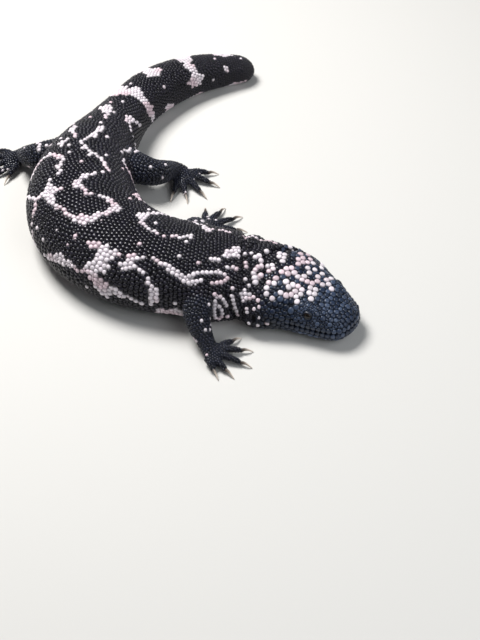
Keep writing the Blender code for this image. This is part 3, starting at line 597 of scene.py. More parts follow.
# %% Pale scales and strokes
PALE_SCALES = (
    (71.0, -3.1), (69.0, -1.4), (66.5, -4.1), (65.6, 4.8), (60.0, 8.4), (57.0, 8.6), (58.5, 5.2),
    (56.0, 5.6), (55.0, 2.6), (51.5, 17.4), (48.5, 14.9), (49.5, 11.1), (47.3, 7.6), (46.2, 11.4),
    (44.5, 13.8), (49.0, 22.4), (45.5, 18.6), (42.0, 16.7), (41.5, 9.8), (38.5, 6.9), (38.0, 12.3),
    (37.0, 18.7), (33.0, 13.2), (33.0, 8.2), (31.0, 5.0), (28.0, 10.4), (25.3, 8.6), (27.5, 5.2),
    (22.0, 6.9), (27.0, 13.9), (51.0, -4.9), (50.2, -0.6), (47.5, -3.2), (48.3, 2.0), (44.8, 0.2),
    (41.5, -0.9), (38.5, -0.9), (38.9, 2.2), (35.2, 0.2), (45.0, -8.7), (41.7, -10.5), (40.3, -7.6),
    (37.5, -6.4), (39.7, -16.0), (37.3, -13.6), (36.6, -10.5), (34.5, -12.9), (32.3, -15.0),
    (33.2, -9.9), (34.3, -6.9), (32.5, 1.2), (31.3, -2.3), (29.8, -5.6), (28.4, -1.0), (27.0, -4.0),
    (26.5, -8.3), (43.5, -16.6), (50.5, -22.3), (46.0, -22.4), (52.8, -19.1), (53.5, -15.7),
    (50.0, -14.2), (51.2, -10.7), (69.7, -14.5), (68.6, -12.0), (67.2, -9.4), (64.4, -7.4),
    (61.6, -5.7), (58.9, -4.0), (57.0, -6.0), (58.5, -8.6), (60.2, -11.4), (62.3, -13.6),
    (67.3, -17.0), (64.6, -15.5), (61.8, -16.6), (65.3, -19.4), (62.6, -19.4), (60.0, -19.3),
)
# Strokes: half width, then the stations and arcs that the stroke runs through
STROKES = (
    (1.7, (109.5, -24.0), (104.0, -21.2), (98.5, -20.6), (93.5, -19.6), (90.0, -20.6)),
    (1.7, (90.0, -20.6), (88.0, -23.2), (92.0, -25.8), (97.0, -26.9)),
    (1.8, (109.5, -28.4), (103.0, -26.0)),
    (3.1, (75.2, -29.2), (73.6, -31.4)),
    (2.1, (86.0, -33.4), (85.4, -35.4), (84.8, -38.4), (83.6, -41.9), (82.4, -45.5)),
    (1.7, (95.4, -33.4), (92.4, -34.4)),
    (1.4, (92.4, -34.6), (90.0, -36.4), (88.0, -39.5)),
    (1.1, (95.0, -37.7), (95.2, -42.0), (95.2, -46.6), (94.4, -50.6), (92.6, -51.0)),
    (1.1, (92.6, -51.0), (91.0, -48.0), (90.8, -44.1), (92.2, -41.4), (94.2, -38.6)),
    (1.6, (98.0, -11.4), (93.5, -11.3)),
    (1.9, (90.0, -8.0), (83.5, -6.4), (79.0, -6.6)),
    (1.6, (88.5, -4.0), (81.0, -2.2)),
    (1.3, (84.5, -0.8), (80.5, 0.4), (78.0, -2.6)),
)
SINGLES = (
    (76.0, -20.4), (77.0, -9.7), (76.0, -12.5), (88.5, -15.9), (85.0, -15.2), (83.0, -16.0),
    (85.3, -28.3), (71.0, -23.1), (74.0, 0.0), (105.0, -15.3), (61.8, -28.0), (54.6, -28.5),
    (69.4, -37.2), (67.6, -38.8), (56.0, -34.4), (51.2, -31.4),
    (61.4, -45.2), (50.4, -42.8), (50.4, -37.8), (44.8, -38.9), (88.0, -47.9), (99.2, -40.8),
)
# Pale beads on the right foreleg: part of its length from the shoulder, and part of a turn round it
ARM_SPOTS = ((0.244, 0.611), (0.32, 0.668), (0.443, 0.734), (0.451, 0.529), (0.498, 0.687))
ARM_SPOTS += ((0.518, 0.535), (0.539, 0.214), (0.561, 0.231))
ARM_LONG, ARM_GIRTH, SPOT_REACH = 95.0, 42.0, 1.5
# Distance between beads in the pale scales of the head, in strokes, and round a single bead
MARK_PITCHES = (3.8, 2.6, 2.6)


def from_map(coords):
    """The points of the surface at these stations and arcs."""
    angle = np.linspace(-math.pi, math.pi, 721)
    rings = body_point(coords[:, :1], angle[None])
    arcs = arcs_of(rings)
    found = np.array([np.interp(arc, row, angle) for arc, row in zip(coords[:, 1], arcs)])
    return body_point(coords[:, 0], found)


def along_stroke(ends, pitch):
    """Evenly spaced stations and arcs along a stroke."""
    ends = np.array(ends)
    run = run_along(ends)
    return at_runs(np.linspace(0.0, run[-1], max(2, round(run[-1] / pitch) + 1)), run, ends)


pale_scales = from_map(np.array(PALE_SCALES))
stroke_beads = from_map(np.concatenate([along_stroke(ends, MARK_PITCHES[1]) for _, *ends in STROKES]))
single_beads = from_map(np.array(SINGLES))
print("pale scales:", len(pale_scales), "beads along strokes:", len(stroke_beads))

# %% [markdown]
# ## Where the beads sit
# The beads lie in rows round the body and the limbs, each row staggered against the one before, as
# bricks are. Larger scales follow the mouth, and rings of small ones go round the eyes, nostrils and
# ears. Scattering them at random would lose these rows, so they are laid out row by row.

# %% Bead rows
# Distance between beads: station and pitch along the body, then the pitches at a limb's four joints
BODY_PITCH = [(0, 2.7), (8, 3.0), (22, 3.35), (40, 3.6), (53, 3.2), (63, 2.4), (87, 2.4), (128, 2.7)]
BODY_PITCH = np.array([*BODY_PITCH, (203, 2.9), (265, 2.7), (309, 2.6), (381, 2.3), (428, 1.9)])
LIMB_PITCH, DIGIT_PITCH = (2.5, 2.4, 2.0, 1.8), 1.75
LIP_PITCH, LIP_OFFSET = 3.1, 1.9
# Belly scales are wider by this, up to a height. Rows lie this part of a pitch apart. Fewest in a row
BELLY_WIDER, BELLY_UP_TO, ROW_STEP, FEWEST = 1.35, 2.0, 0.87, 5
# Steps along the lips, and their crowding towards the snout as a power
LIP_STEPS, LIP_POWER = 90, 1.6


def body_rows():
    """Bead places in rows across the body, each row staggered against the one before."""
    station, turn, rows = 0.9, 0, []
    angle = np.linspace(-math.pi, math.pi, 361)
    while station < TOTAL - 0.8:
        pitch = np.interp(station, *BODY_PITCH.T)
        ring = body_point(station, angle)
        lengths = length_of(np.diff(ring, axis=0))
        high = smooth_step((ring[1:, 2] - BELLY_UP_TO) / 5.0)
        lengths = lengths / (BELLY_WIDER + (1 - BELLY_WIDER) * high)
        run = np.concatenate([[0.0], lengths.cumsum()])
        count = max(FEWEST, round(run[-1] / pitch))
        wanted = (np.arange(count) + 0.5 * (turn % 2)) / count * run[-1]
        chosen = np.interp(wanted, run, angle)
        rows.append(np.stack([np.full(count, station), chosen, np.full(count, pitch)], 1))
        station += pitch * ROW_STEP
        turn += 1
    return np.concatenate(rows)


def with_pitch(places, pitch):
    """The places with one pitch as a fourth column."""
    return np.concatenate([places, np.full((len(places), 1), pitch)], 1)


def tube_rows(centres, wide, high, pitch):
    """Bead places in staggered rows round a tube, with the pitch given at each centre."""
    run = run_along(centres)
    at, turn, places = 0.8, 0, []
    while at < run[-1] - 0.3:
        path = at_runs([at - 0.5, at, at + 0.5], run, centres)
        w, h, p = (np.interp(at, run, v) for v in (wide, high, pitch))
        count = max(FEWEST, round(math.pi * (w + h) / p))
        ring = tube_grid(path, np.full(3, w), np.full(3, h), count, 0.5 * (turn % 2))[1]
        places.append(with_pitch(ring, p))
        at += p * ROW_STEP
        turn += 1
    return np.concatenate(places)


def lip_row(offset, pitch):
    """Places along both lips at a height above or below the line of the mouth."""
    station = MOUTH_CORNER * np.linspace(0.0, 1.0, LIP_STEPS) ** LIP_POWER
    angle = np.linspace(0.02, math.pi, 400)
    across, height = body_local(station[:, None], angle[None])
    level = mouth_height(station)[:, None] + offset
    best = np.abs(height - level).argmin(1)
    left = np.stack([station, angle[best]], 1)
    left = left[across[np.arange(LIP_STEPS), best] > 0.6]
    both = np.concatenate([left[::-1], left * [1, -1]])
    line = body_point(both[:, 0], both[:, 1])
    run = run_along(line)
    return at_runs(np.linspace(0.0, run[-1], round(run[-1] / pitch)), run, line)


def axes_of(outward):
    """Level, upright and outward directions for something set in the side of the head."""
    level = level_beside(outward)
    return np.array([level, np.cross(outward, level), outward])


def ring_round(place, outward, across, tall, count):
    """Places on an oval round a point, level and upright on the surface there."""
    level, upright, _ = axes_of(outward)
    turn = np.arange(count)[:, None] / count * 2 * math.pi
    return place + level * np.cos(turn) * across + upright * np.sin(turn) * tall


rows = body_rows()
body_beads = np.concatenate([body_point(rows[:, 0], rows[:, 1]), rows[:, 2:]], 1)
print("beads in rows on the body:", len(body_beads))

# %% [markdown]
# ## Station and arc of any place
# To know its mark and its size, a bead must know where on the animal it lies. A formula for that is
# hard on a bent body, so the nearest point of the body's grid is looked up instead.

# %% Body coordinates
map_points = skin_grid[:, ::3].reshape(-1, 3)
map_values = np.stack([grid_station[:, ::3], grid_arc[:, ::3]], -1).reshape(-1, 2)


def tree_of(places):
    """A tree that finds the nearest of these places quickly."""
    tree = KDTree(len(places))
    for index, place in enumerate(places.tolist()):
        tree.insert(place, index)
    tree.balance()
    return tree


map_tree = tree_of(map_points)


def body_coordinates(places):
    """Station and arc of places near the body's surface."""
    found = np.array([map_tree.find(place)[1] for place in places.tolist()])
    return map_values[found]


# %% [markdown]
# ## Settle the beads on the skin
# Real scales leave no bare skin wider than a fold. A bead that lies buried where two parts join is
# dropped, the rest are moved onto the skin and push one another apart, as in a tray of marbles, and
# small beads fill the gaps that are left. A physics simulation would do the same more slowly. The
# beads that shape the lips, lids, nostrils, ears and marks stay where they are.

# %% Settle the beads
LOOSE, SHAPING, PALE_ALWAYS = 0, 1, 2
# Parts of a pitch: farther than this from a bead the skin is bare, and nearer than these it is crowded
BARE, CROWDED, CROWDED_BY_FIXED = 0.78, 0.6, 0.72
# How far from the skin a bead is buried, rounds of pushing apart, and rounds of filling gaps
BURIED, PUSHES, QUICK_PUSHES, LAST_PUSHES, FILLINGS = 1.5, 8, 4, 3, 3
# How near two beads are pushed from, as a part of their two pitches, and how much of the way at once
PUSH_FROM, PUSH_STEP = 0.52, 0.3
# Ovals of beads round each opening: half length, half height, number of beads and their pitch
EYE_OVALS, NOSTRIL_OVALS = ((3.9, 3.5, 15, 1.45), (5.7, 5.2, 15, 2.1)), ((2.2, 2.0, 7, 1.8),)
EAR_OVALS = ((2.2, 4.1, 12, 1.7),)
# How uneven the packing of the head and of the rest is: places, then sizes, as parts of a pitch
HEAD_END, PLACE_UNEVEN, SIZE_UNEVEN = 60, (0.26, 0.16), (0.13, 0.05)


def neighbours(places, count):
    """Indices of the nearest places to each, without itself."""
    tree = tree_of(places)
    found = [[hit[1] for hit in tree.find_n(p, count + 1)][1:] for p in places.tolist()]
    return np.array(found)


def onto_skin(places):
    """The nearest points of the skin, its directions there, and how far away they were."""
    hits = [skin_tree.find_nearest(place) for place in places.tolist()]
    ground = np.array([hit[0][:] for hit in hits])
    outward = np.array([hit[1][:] for hit in hits])
    return ground, outward, np.array([hit[3] for hit in hits])


def gather_beads():
    """Every bead's place, pitch, region (0 the body, 1 to 4 the limbs) and kind."""
    sets = [(body_beads, 0, LOOSE)]
    for region, limb in enumerate(LIMBS.values(), 1):
        centres, wide, high, runs = limb_path(limb, 80)
        pitch = np.interp(runs, range(4), LIMB_PITCH)
        sets.append((tube_rows(centres, wide, high, pitch), region, LOOSE))
        for k in DIGITS:
            centres, thick = digit_path(limb, k, 40)
            sets.append((tube_rows(centres, thick, thick, np.full(40, DIGIT_PITCH)), region, LOOSE))
    for beads, pitch in zip((pale_scales, stroke_beads, single_beads), MARK_PITCHES):
        sets.append((with_pitch(beads, pitch), 0, PALE_ALWAYS))
    for offset in (LIP_OFFSET, -LIP_OFFSET):
        sets.append((with_pitch(lip_row(offset, LIP_PITCH), LIP_PITCH), 0, SHAPING))
    for openings, ovals in ((EYES, EYE_OVALS), (NOSTRILS, NOSTRIL_OVALS), (EARS, EAR_OVALS)):
        for place, outward in openings:
            for *oval, pitch in ovals:
                sets.append((with_pitch(ring_round(place, outward, *oval), pitch), 0, SHAPING))
    places = np.concatenate([beads for beads, _, _ in sets])
    region = np.concatenate([np.full(len(beads), region) for beads, region, _ in sets])
    kind = np.concatenate([np.full(len(beads), kind) for beads, _, kind in sets])
    return places[:, :3], places[:, 3], region, kind


def openings_clear(places):
    """False inside the eyes, nostrils and ears."""
    clear = np.ones(len(places), bool)
    for openings, size in ((EYES, EYE_CLEAR), (NOSTRILS, NOSTRIL_CLEAR)):
        for place, _ in openings:
            clear &= length_of(places - place) > size
    for place, _ in EARS:
        offset = places - place
        flat = length_of(offset[:, :2]) / (EAR_LONG + 0.5)
        clear &= (offset[:, 2] / (EAR_TALL + 0.6)) ** 2 + flat**2 > 1
    station = body_coordinates(places)[:, 0]
    gap = np.abs(places[:, 2] - mouth_height(station))
    return clear & ((gap > 1.1) | (station > MOUTH_CORNER + 1))


def keep_beads(beads, keep):
    """The beads for which keep is true."""
    return tuple(column[keep] for column in beads)


def thin_out(beads):
    """The beads without those that a fixed or an earlier bead leaves no room for."""
    places, pitch, _, kind = beads
    stays = kind > LOOSE
    near = neighbours(places, 6)
    apart = length_of(places[:, None] - places[near])
    want = 0.5 * (pitch[:, None] + pitch[near])
    earlier = near < np.arange(len(places))[:, None]
    blocks = stays[near] | (earlier & ~stays[:, None])
    crowded = (apart < np.where(stays[near], CROWDED_BY_FIXED, CROWDED) * want) & blocks
    doubled = (apart < CROWDED * want) & (kind[near] >= kind[:, None]) & earlier
    return keep_beads(beads, np.where(stays, ~doubled.any(1), ~crowded.any(1)))


def push_apart(beads, rounds):
    """Moves crowded beads apart along the skin, and drops those that end in an opening."""
    places, pitch, region, kind = beads
    for _ in range(rounds):
        near = neighbours(places, 7)
        offset = places[:, None] - places[near]
        apart = length_of(offset)
        want = PUSH_FROM * (pitch[:, None] + pitch[near])
        push = np.maximum(want - apart, 0.0) / np.maximum(apart, 1e-6)
        move = (offset * push[..., None]).sum(1) * PUSH_STEP * (kind == LOOSE)[:, None]
        places = onto_skin(places + move)[0]
    return keep_beads((places, pitch, region, kind), openings_clear(places))


def gap_beads(beads):
    """Beads for the bare places of the skin: the barest point of each, at most as wide as its neighbour."""
    places, pitch, region, _ = beads
    tree = tree_of(places)
    found = [tree.find(point)[1:] for point in skin_points.tolist()]
    owner, apart = np.array([hit[0] for hit in found]), np.array([hit[1] for hit in found])
    bare = np.flatnonzero((apart > BARE * pitch[owner]) & openings_clear(skin_points))
    points, owner, apart = skin_points[bare], owner[bare], apart[bare]
    near = neighbours(points, 12)
    close = length_of(points[:, None] - points[near])
    rival = (apart[near] > apart[:, None]) & (close < pitch[owner][:, None])
    wide = np.minimum(2 * apart - pitch[owner], pitch[owner])
    return keep_beads((points, wide, region[owner], np.full(len(bare), LOOSE)), ~rival.any(1))


beads = gather_beads()
ground, _, away = onto_skin(beads[0])
is_head = (beads[2] == 0) & (body_coordinates(ground)[:, 0] < HEAD_END)
loose = beads[3] == LOOSE
shift = np.where(is_head, *PLACE_UNEVEN) * beads[1] * loose
jitter = rng.normal(0.0, 1.0, ground.shape) * shift[:, None]
uneven = np.clip(rng.normal(0.0, 1.0, len(loose)), -1.6, 2.0) * np.where(is_head, *SIZE_UNEVEN) * loose
beads = (ground + jitter, beads[1] * (1 + uneven), *beads[2:])
beads = keep_beads(beads, (away < BURIED) & openings_clear(ground))
beads = push_apart(thin_out(thin_out(beads)), PUSHES)
for _ in range(FILLINGS):
    extra = gap_beads(beads)
    beads = tuple(np.concatenate(pair) for pair in zip(beads, extra))
    beads = push_apart(thin_out(beads), LAST_PUSHES)
    print("small beads in gaps:", len(extra[0]))
bead_place, bead_pitch, bead_region, bead_kind = beads
bead_place, bead_out, _ = onto_skin(bead_place)
bead_coords = body_coordinates(bead_place)
print("beads:", len(bead_place))

# %% [markdown]
# ## Markings
# Black with pale, pinkish beads. The marks on the head, neck and right shoulder are those of the
# animal in the photo. The rest is a net of broken loops, as the species has, with a banded tail. It
# could be drawn stroke by stroke. Smooth noise gives it with one formula: where the noise is near
# zero, its level lines are loops, and a broader limit makes a broader band.

# %% Pale or dark
# The photo shows the body up to this station and, on the left, up to this arc
KNOWN_UNTIL, KNOWN_LEFT = 110.0, 14.0
# Up to here the marks are single scales, and from a little behind the underside has its own
SCALES_END, BELLY_MARKS = 64, 66
# Bands of trunk and tail: one at this station, the distance between two, and where the tail's begin
BAND_AT, BAND_APART, TAIL_BANDS = 115.0, 29.0, 283
# Noise of the net, and finer noise that it is mixed with: length of its waves, their number, the seed
NET_NOISE, FINE_NOISE, FINE_SHARE = (36.0, 16, 5), (11.0, 12, 8), 0.15
# Width of the loops: on the trunk, what the bands add there, what they add and take away on the tail,
# and on a limb's upper part
LOOP, BAND_MORE, TAIL_MORE, TAIL_LESS, LIMB_LOOP = 0.2, 0.09, 0.5, 0.05, 0.16
# Pale patches on the left of the head: beyond this arc, station and height, where noise is above a
# limit. Under the body, up to a height, other noise
LEFT_ARC, LEFT_STATION, LEFT_HEIGHT, LEFT_NOISE, LEFT_LIMIT = 21, 30, 15, (13.0, 12, 21), 0.4
UNDER_HEIGHT, UNDER_NOISE, UNDER_LIMIT = 5, (26.0, 12, 9), 0.1
# Shares of stray pale beads on the body, the right foreleg and the other limbs
STRAY_BODY, STRAY_ARM, STRAY_LIMB = 0.012, 0.006, 0.02


def limb_coordinates(places, limb):
    """How far along a limb a place is, and how far round it, both from 0 to 1."""
    tips = np.array([digit_path(limb, k, 2)[0][-1] for k in DIGITS]).mean(0)
    line = np.concatenate([limb_path(limb, 60)[0], tips[None]])
    nearest = length_of(places[:, None] - line).argmin(1)
    along = unit(np.gradient(line, axis=0))[nearest]
    offset = places - line[nearest]
    turn = np.arctan2((offset * level_beside(along)).sum(1), offset[:, 2]) / (2 * math.pi) + 0.5
    run = run_along(line)
    return (run[nearest] + (offset * along).sum(1)) / (run[-1] + 12), turn


def limb_places(places, region):
    """Part of the limb's length and part of a turn round it for each place, 0 on the body."""
    found = np.zeros((2, len(places)))
    for k, limb in enumerate(LIMBS.values(), 1):
        found[:, region == k] = limb_coordinates(places[region == k], limb)
    return found


def waves(places, length, count, seed):
    """Smooth noise between about -1 and 1: a sum of waves in random directions, near one length."""
    draw = np.random.default_rng(seed)
    way = unit(draw.normal(size=(count, 3)))
    size = 2 * math.pi / (length * draw.uniform(0.75, 1.35, count))
    phase = draw.uniform(0, 2 * math.pi, count)
    return np.sin(places @ (way * size[:, None]).T + phase).sum(1) * math.sqrt(2 / count) * 0.7


def network(places, station, limb, along):
    """Pale where smooth noise is near zero: loops and bars, broader in the bands of trunk and tail."""
    field = waves(places, *NET_NOISE) + FINE_SHARE * waves(places, *FINE_NOISE)
    band = np.cos(2 * math.pi * (station - BAND_AT) / BAND_APART)
    tail = smooth_step((station - TAIL_BANDS) / 20) * (limb == 0)
    wide = LOOP + BAND_MORE * band * (1 - tail) + tail * (TAIL_MORE * band - TAIL_LESS)
    on_limb = LIMB_LOOP * (1 - smooth_step((along - 0.2) / 0.35)) * (limb > 1)
    return np.abs(field) < np.where(limb > 0, on_limb, wide)


def arm_spots(along, turn, limb):
    """True for the beads of the right foreleg nearest to its pale spots."""
    spot = np.zeros(len(along), bool)
    for far, round_ in ARM_SPOTS:
        apart = np.hypot((along - far) * ARM_LONG, (turn - round_) * ARM_GIRTH)
        spot |= (apart < SPOT_REACH) & (limb == 1)
    return spot


def pale_beads(places, coords, region, kind, along, turn):
    """True for each pale bead: the photo's marks, the net where it shows nothing, and a few strays."""
    station, arc = coords.T
    height, body = places[:, 2], region == 0
    pale = network(places, station, region, along)
    pale &= ~(body & (station < KNOWN_UNTIL) & (arc < KNOWN_LEFT) & (height > 3))
    pale &= ~(body & (station < SCALES_END))
    for width, *ends in STROKES:
        line = from_map(along_stroke(ends, 0.8))
        pale |= (length_of(places[:, None] - line).min(1) < width) & body
    left = body & (arc > LEFT_ARC) & (station > LEFT_STATION) & (station < SCALES_END)
    pale |= left & (waves(places, *LEFT_NOISE) > LEFT_LIMIT) & (height > LEFT_HEIGHT)
    stray = np.random.default_rng(3).random(len(places))
    pale |= body & (station > KNOWN_UNTIL) & (stray < STRAY_BODY)
    pale |= ~body & (stray < np.where(region == 1, STRAY_ARM, STRAY_LIMB))
    under = (height < UNDER_HEIGHT) & body & (station > BELLY_MARKS)
    pale = np.where(under, waves(places, *UNDER_NOISE) > UNDER_LIMIT, pale)
    return pale | (kind == PALE_ALWAYS) | arm_spots(along, turn, region)


bead_along, bead_turn = limb_places(bead_place, bead_region)
bead_pale = pale_beads(bead_place, bead_coords, bead_region, bead_kind, bead_along, bead_turn)
print("pale beads:", int(bead_pale.sum()), "of", len(bead_pale))

# %% [markdown]
# ## The shape of a bead
# Under each scale lies a small dome of bone, rounded on the back, flatter on the head and belly. One
# bead could be copied everywhere, but then gaps and overlaps would show where the packing changes.
# So each bead fills its own cell: its edge stops short of the line half way to each neighbour, and it
# rises from a sunk rim to a rounded top. It has a few dozen faces, as there are thousands of beads.

# %% Bead shapes
SIDES, HEAD_SIDES = 10, 12
# How round a bead's outline is, and its height as a part of its pitch
ROUND, HEAD_ROUND, BEAD_HEIGHT, HEAD_HEIGHT = 0.5, 0.3, 0.34, 0.24
# Rings of a bead from its sunk rim up: part of the way to its edge, and part of its height
RINGS = ((1.03, -0.55), (0.93, 0.42), (0.62, 0.86), (0.3, 0.98))
HEAD_RINGS = ((1.02, -0.55), (0.95, 0.4), (0.76, 0.82), (0.4, 0.98))
# The farthest that an edge may lie, as a part of the pitch, the part of the cell that a bead fills, the
# depth of its sunk rim, and how near the floor it may come
FARTHEST, FILLED, SUNK, BEAD_FLOOR = 0.68, 0.99, 0.8, 0.05
# How much lower beads are near the floor, up to a height, and on the digits
FLOOR_LOWER, FLOOR_HIGH, DIGIT_LOWER = 0.35, 5.0, 0.25


def even_turns(count):
    """The angles of this many even steps round a circle."""
    return np.arange(count) * 2 * math.pi / count


def cell_edges(places, outward, near, pitch, sides):
    """Distance to the cell's edge in each direction on the bead's own plane, and its two axes."""
    first = unit(np.cross(np.broadcast_to([0.13, 0.31, 0.94], outward.shape), outward))
    second = np.cross(outward, first)
    offset = places[near] - places[:, None]
    flat = np.stack([(offset * first[:, None]).sum(2), (offset * second[:, None]).sum(2)], -1)
    share = pitch[:, None] / (pitch[:, None] + pitch[near])
    reach = (flat**2).sum(2) * share
    ray = direction(even_turns(sides)).T
    toward = flat @ ray
    edge = np.where(toward > 1e-3, reach[..., None] / np.maximum(toward, 1e-3), 1e9).min(1)
    edge = np.minimum(edge, pitch[:, None] * FARTHEST)
    edge = 0.4 * edge + 0.3 * (np.roll(edge, 1, 1) + np.roll(edge, -1, 1))
    rounding = HEAD_ROUND if sides == HEAD_SIDES else ROUND
    edge = edge + (np.minimum(edge, edge.mean(1, keepdims=True)) - edge) * rounding
    return edge, first, second, ray


def bead_mesh(chosen, rings, sides, gap):
    """Points of the chosen beads: one row per ring and a middle point."""
    edge, first, second, ray = (v[chosen] if len(v) == len(bead_place) else v for v in edges[sides])
    edge = edge * FILLED - gap
    place, outward, height = bead_place[chosen], bead_up[chosen], bead_height[chosen]
    flat = first[:, None] * ray[0][:, None] + second[:, None] * ray[1][:, None]
    layers = []
    for reach, lift in rings:
        rise = np.where(lift < 0, lift * SUNK, lift * height)[:, None, None]
        layers.append(place[:, None] + flat * (edge * reach)[..., None] + outward[:, None] * rise)
    top = place + outward * height[:, None]
    points = np.concatenate([np.stack(layers, 1).reshape(len(place), -1, 3), top[:, None]], 1)
    points[..., 2] = np.maximum(points[..., 2], BEAD_FLOOR)
    return points


def bead_faces(count, rings, sides):
    """Quads between the rings and a fan over the middle, for every bead."""
    per = rings * sides + 1
    quads = grid_faces(rings, sides)
    ring = np.arange(sides)
    last = (rings - 1) * sides
    fan = np.stack([last + ring, last + (ring + 1) % sides, np.full(sides, per - 1)], 1)
    start = (np.arange(count) * per)[:, None, None]
    return (quads + start).reshape(-1, 4), (fan + start).reshape(-1, 3)


# Each bead's upright is averaged with its neighbours', so that the packing looks even
near = neighbours(bead_place, 10)
bead_up = unit(bead_out + 0.7 * bead_out[near[:, :6]].mean(1))
edges = {n: cell_edges(bead_place, bead_up, near, bead_pitch, n) for n in (SIDES, HEAD_SIDES)}
in_head = (bead_region == 0) & (bead_coords[:, 0] < HEAD_END)
bead_height = bead_pitch * np.where(in_head, HEAD_HEIGHT, BEAD_HEIGHT)
bead_height = bead_height * rng.uniform(0.93, 1.07, len(bead_pitch))
bead_height *= 1 - FLOOR_LOWER * smooth_step((FLOOR_HIGH - bead_place[:, 2]) / 4)
bead_height *= 1 - DIGIT_LOWER * near_digits(bead_place)
# A bead on the underside is no higher than the room below it
room = (bead_place[:, 2] - 0.06) / np.maximum(-bead_up[:, 2], 0.05)
bead_height = np.where(bead_up[:, 2] < -0.2, np.minimum(bead_height, room), bead_height)
print("bead heights", np.round(np.percentile(bead_height, [1, 50, 99]), 2))

# %% [markdown]
# ## Colours and the unwrap
# Black on the body, painted blue sheen on head and limbs, painted slate glints on snout and crown, pinkish
# white marks.
# A colour stored on each point costs little and is sharp at the bead's edge, with painted shade darkening
# its rim. On the unwrap a bead is a small patch at the place of its root, in one field for the body and one
# for each limb.

# %% Bead colours and unwrap
BLACK = np.array([0.009, 0.007, 0.012])
# Black with a blue tint: the tint is a painted sheen of cool light, not the beads' own colour
SHEEN_BLUE_BLACK = np.array([0.008, 0.014, 0.031])
# Slate grey: a painted highlight, glints of light on the snout and the top of the head
SLATE_HIGHLIGHT = np.array([0.07, 0.097, 0.163])
PALE, PALE_PINK = np.array([0.76, 0.71, 0.76]), np.array([0.68, 0.50, 0.56])
# Painted highlights: slate up to this station on the snout, the share of snout beads that get it fully, and
# the share of the crown's beads
SLATE_HIGHLIGHT_UNTIL, SLATE_HIGHLIGHT_SHARE, CROWN_HIGHLIGHT_SHARE = 36.0, 0.3, 0.25
# Painted blue sheen: the station where it begins, over how much it grows, and its least on the body and on a
# limb
SHEEN_FROM, SHEEN_OVER, SHEEN_BODY, SHEEN_LIMB = 65, 30, 0.12, 0.45
# Painted highlights, slate beads of the crown: above this height, and how grey. Pink: the noise that spreads
# it
CROWN_HIGHLIGHT_HEIGHT, CROWN_HIGHLIGHT_GREY, PINK_NOISE = 20, 0.45, (16.0, 10, 31)
# On the unwrap: margin, width of the body, its middle line, its half height and the arc that fills it,
# then each limb's step and width and the limbs' height, and a bead's half width
MARGIN, BODY_WIDE, BODY_MIDDLE, BODY_HIGH, WIDEST_ARC = 0.02, 0.96, 0.68, 0.29, 115.0
LIMB_STEP, LIMB_WIDE, LIMB_HIGH, PATCH = 0.245, 0.22, 0.32, 0.0015


def bead_colours():
    """One colour for each bead, with small differences between neighbours, a painted blue sheen and painted
    slate highlights on the snout and crown.
    """
    station, on_body = bead_coords[:, 0], bead_region == 0
    blue_sheen = smooth_step((SHEEN_FROM - station) / SHEEN_OVER) * on_body
    blue_sheen = np.maximum(blue_sheen, np.where(on_body, SHEEN_BODY, SHEEN_LIMB))[:, None]
    dark = BLACK + (SHEEN_BLUE_BLACK - BLACK) * blue_sheen
    dark = dark * rng.uniform(0.7, 1.6, (len(dark), 1))
    snout = on_body * smooth_step((SLATE_HIGHLIGHT_UNTIL - station) / 14)
    draw = rng.random(len(dark))
    slate_highlight = (0.2 + 0.8 * (draw < SLATE_HIGHLIGHT_SHARE)) * snout * rng.uniform(0.4, 1.0, len(dark))
    crown = in_head & (bead_place[:, 2] > CROWN_HIGHLIGHT_HEIGHT) & (draw > 1 - CROWN_HIGHLIGHT_SHARE)
    dark = dark + (SLATE_HIGHLIGHT - dark) * np.maximum(slate_highlight, CROWN_HIGHLIGHT_GREY * crown)[:, None]
    pink = smooth_step(waves(bead_place, *PINK_NOISE) * 0.9 + 0.1)[:, None]
    light = PALE + (PALE_PINK - PALE) * (0.1 + 0.6 * pink)
    light = light * rng.uniform(0.8, 1.1, (len(light), 1))
    return np.where(bead_pale[:, None], light, dark)


def unwrap(coords, region, along, turn):
    """The root's place on the unwrap: the body fills the upper part, the limbs lie below."""
    u = MARGIN + coords[:, 0] / TOTAL * BODY_WIDE
    v = BODY_MIDDLE + coords[:, 1] / WIDEST_ARC * BODY_HIGH
    limb_u = MARGIN + LIMB_STEP * (region - 1) + turn * LIMB_WIDE
    limb_v = MARGIN + np.clip(along, 0, 1) * LIMB_HIGH
    on_body = region == 0
    return np.stack([np.where(on_body, u, limb_u), np.where(on_body, v, limb_v)], 1)


def dress(mesh, colours, material):
    """Smooth shading, a finish, and a colour for every point as the attribute that the finish reads."""
    layer = mesh.color_attributes.new("markings", "FLOAT_COLOR", "POINT")
    values = np.concatenate([colours, np.ones((len(colours), 1))], 1)
    layer.data.foreach_set("color", values.ravel())
    mesh.polygons.foreach_set("use_smooth", np.ones(len(mesh.polygons), bool))
    mesh.materials.append(material)


def set_unwrap(mesh, uv):
    """Stores a place on the unwrap for every point, in a UV map named OFBake."""
    corners = read(mesh.loops, "vertex_index", 1, np.int32)[:, 0]
    layer = mesh.uv_layers.new(name="OFBake")
    layer.data.foreach_set("uv", uv[corners].ravel())


bead_colour = bead_colours()
bead_uv = unwrap(bead_coords, bead_region, bead_along, bead_turn)
print("unwrap spans", np.round(bead_uv.min(0), 2), np.round(bead_uv.max(0), 2))

# %% [markdown]
# ## Grain
# Horn, bead and skin all have a fine uneven surface: a bead is worn and faintly dimpled, the skin
# between is wrinkled. It could be an image, but noise in object coordinates has no seam and is as sharp
# close up. One node group makes it for all finishes, each with its own scale and range of polish.

# %% Grain
GRAIN_INPUTS, GRAIN_DETAIL = ("Scale", "Detail", "Smooth", "Rough"), 3.0


def join(tree, *wires):
    """Joins nodes: each wire names a node, its output, the next node and its input."""
    for node, output, target, socket in wires:
        tree.links.new(node.outputs[output], target.inputs[socket])


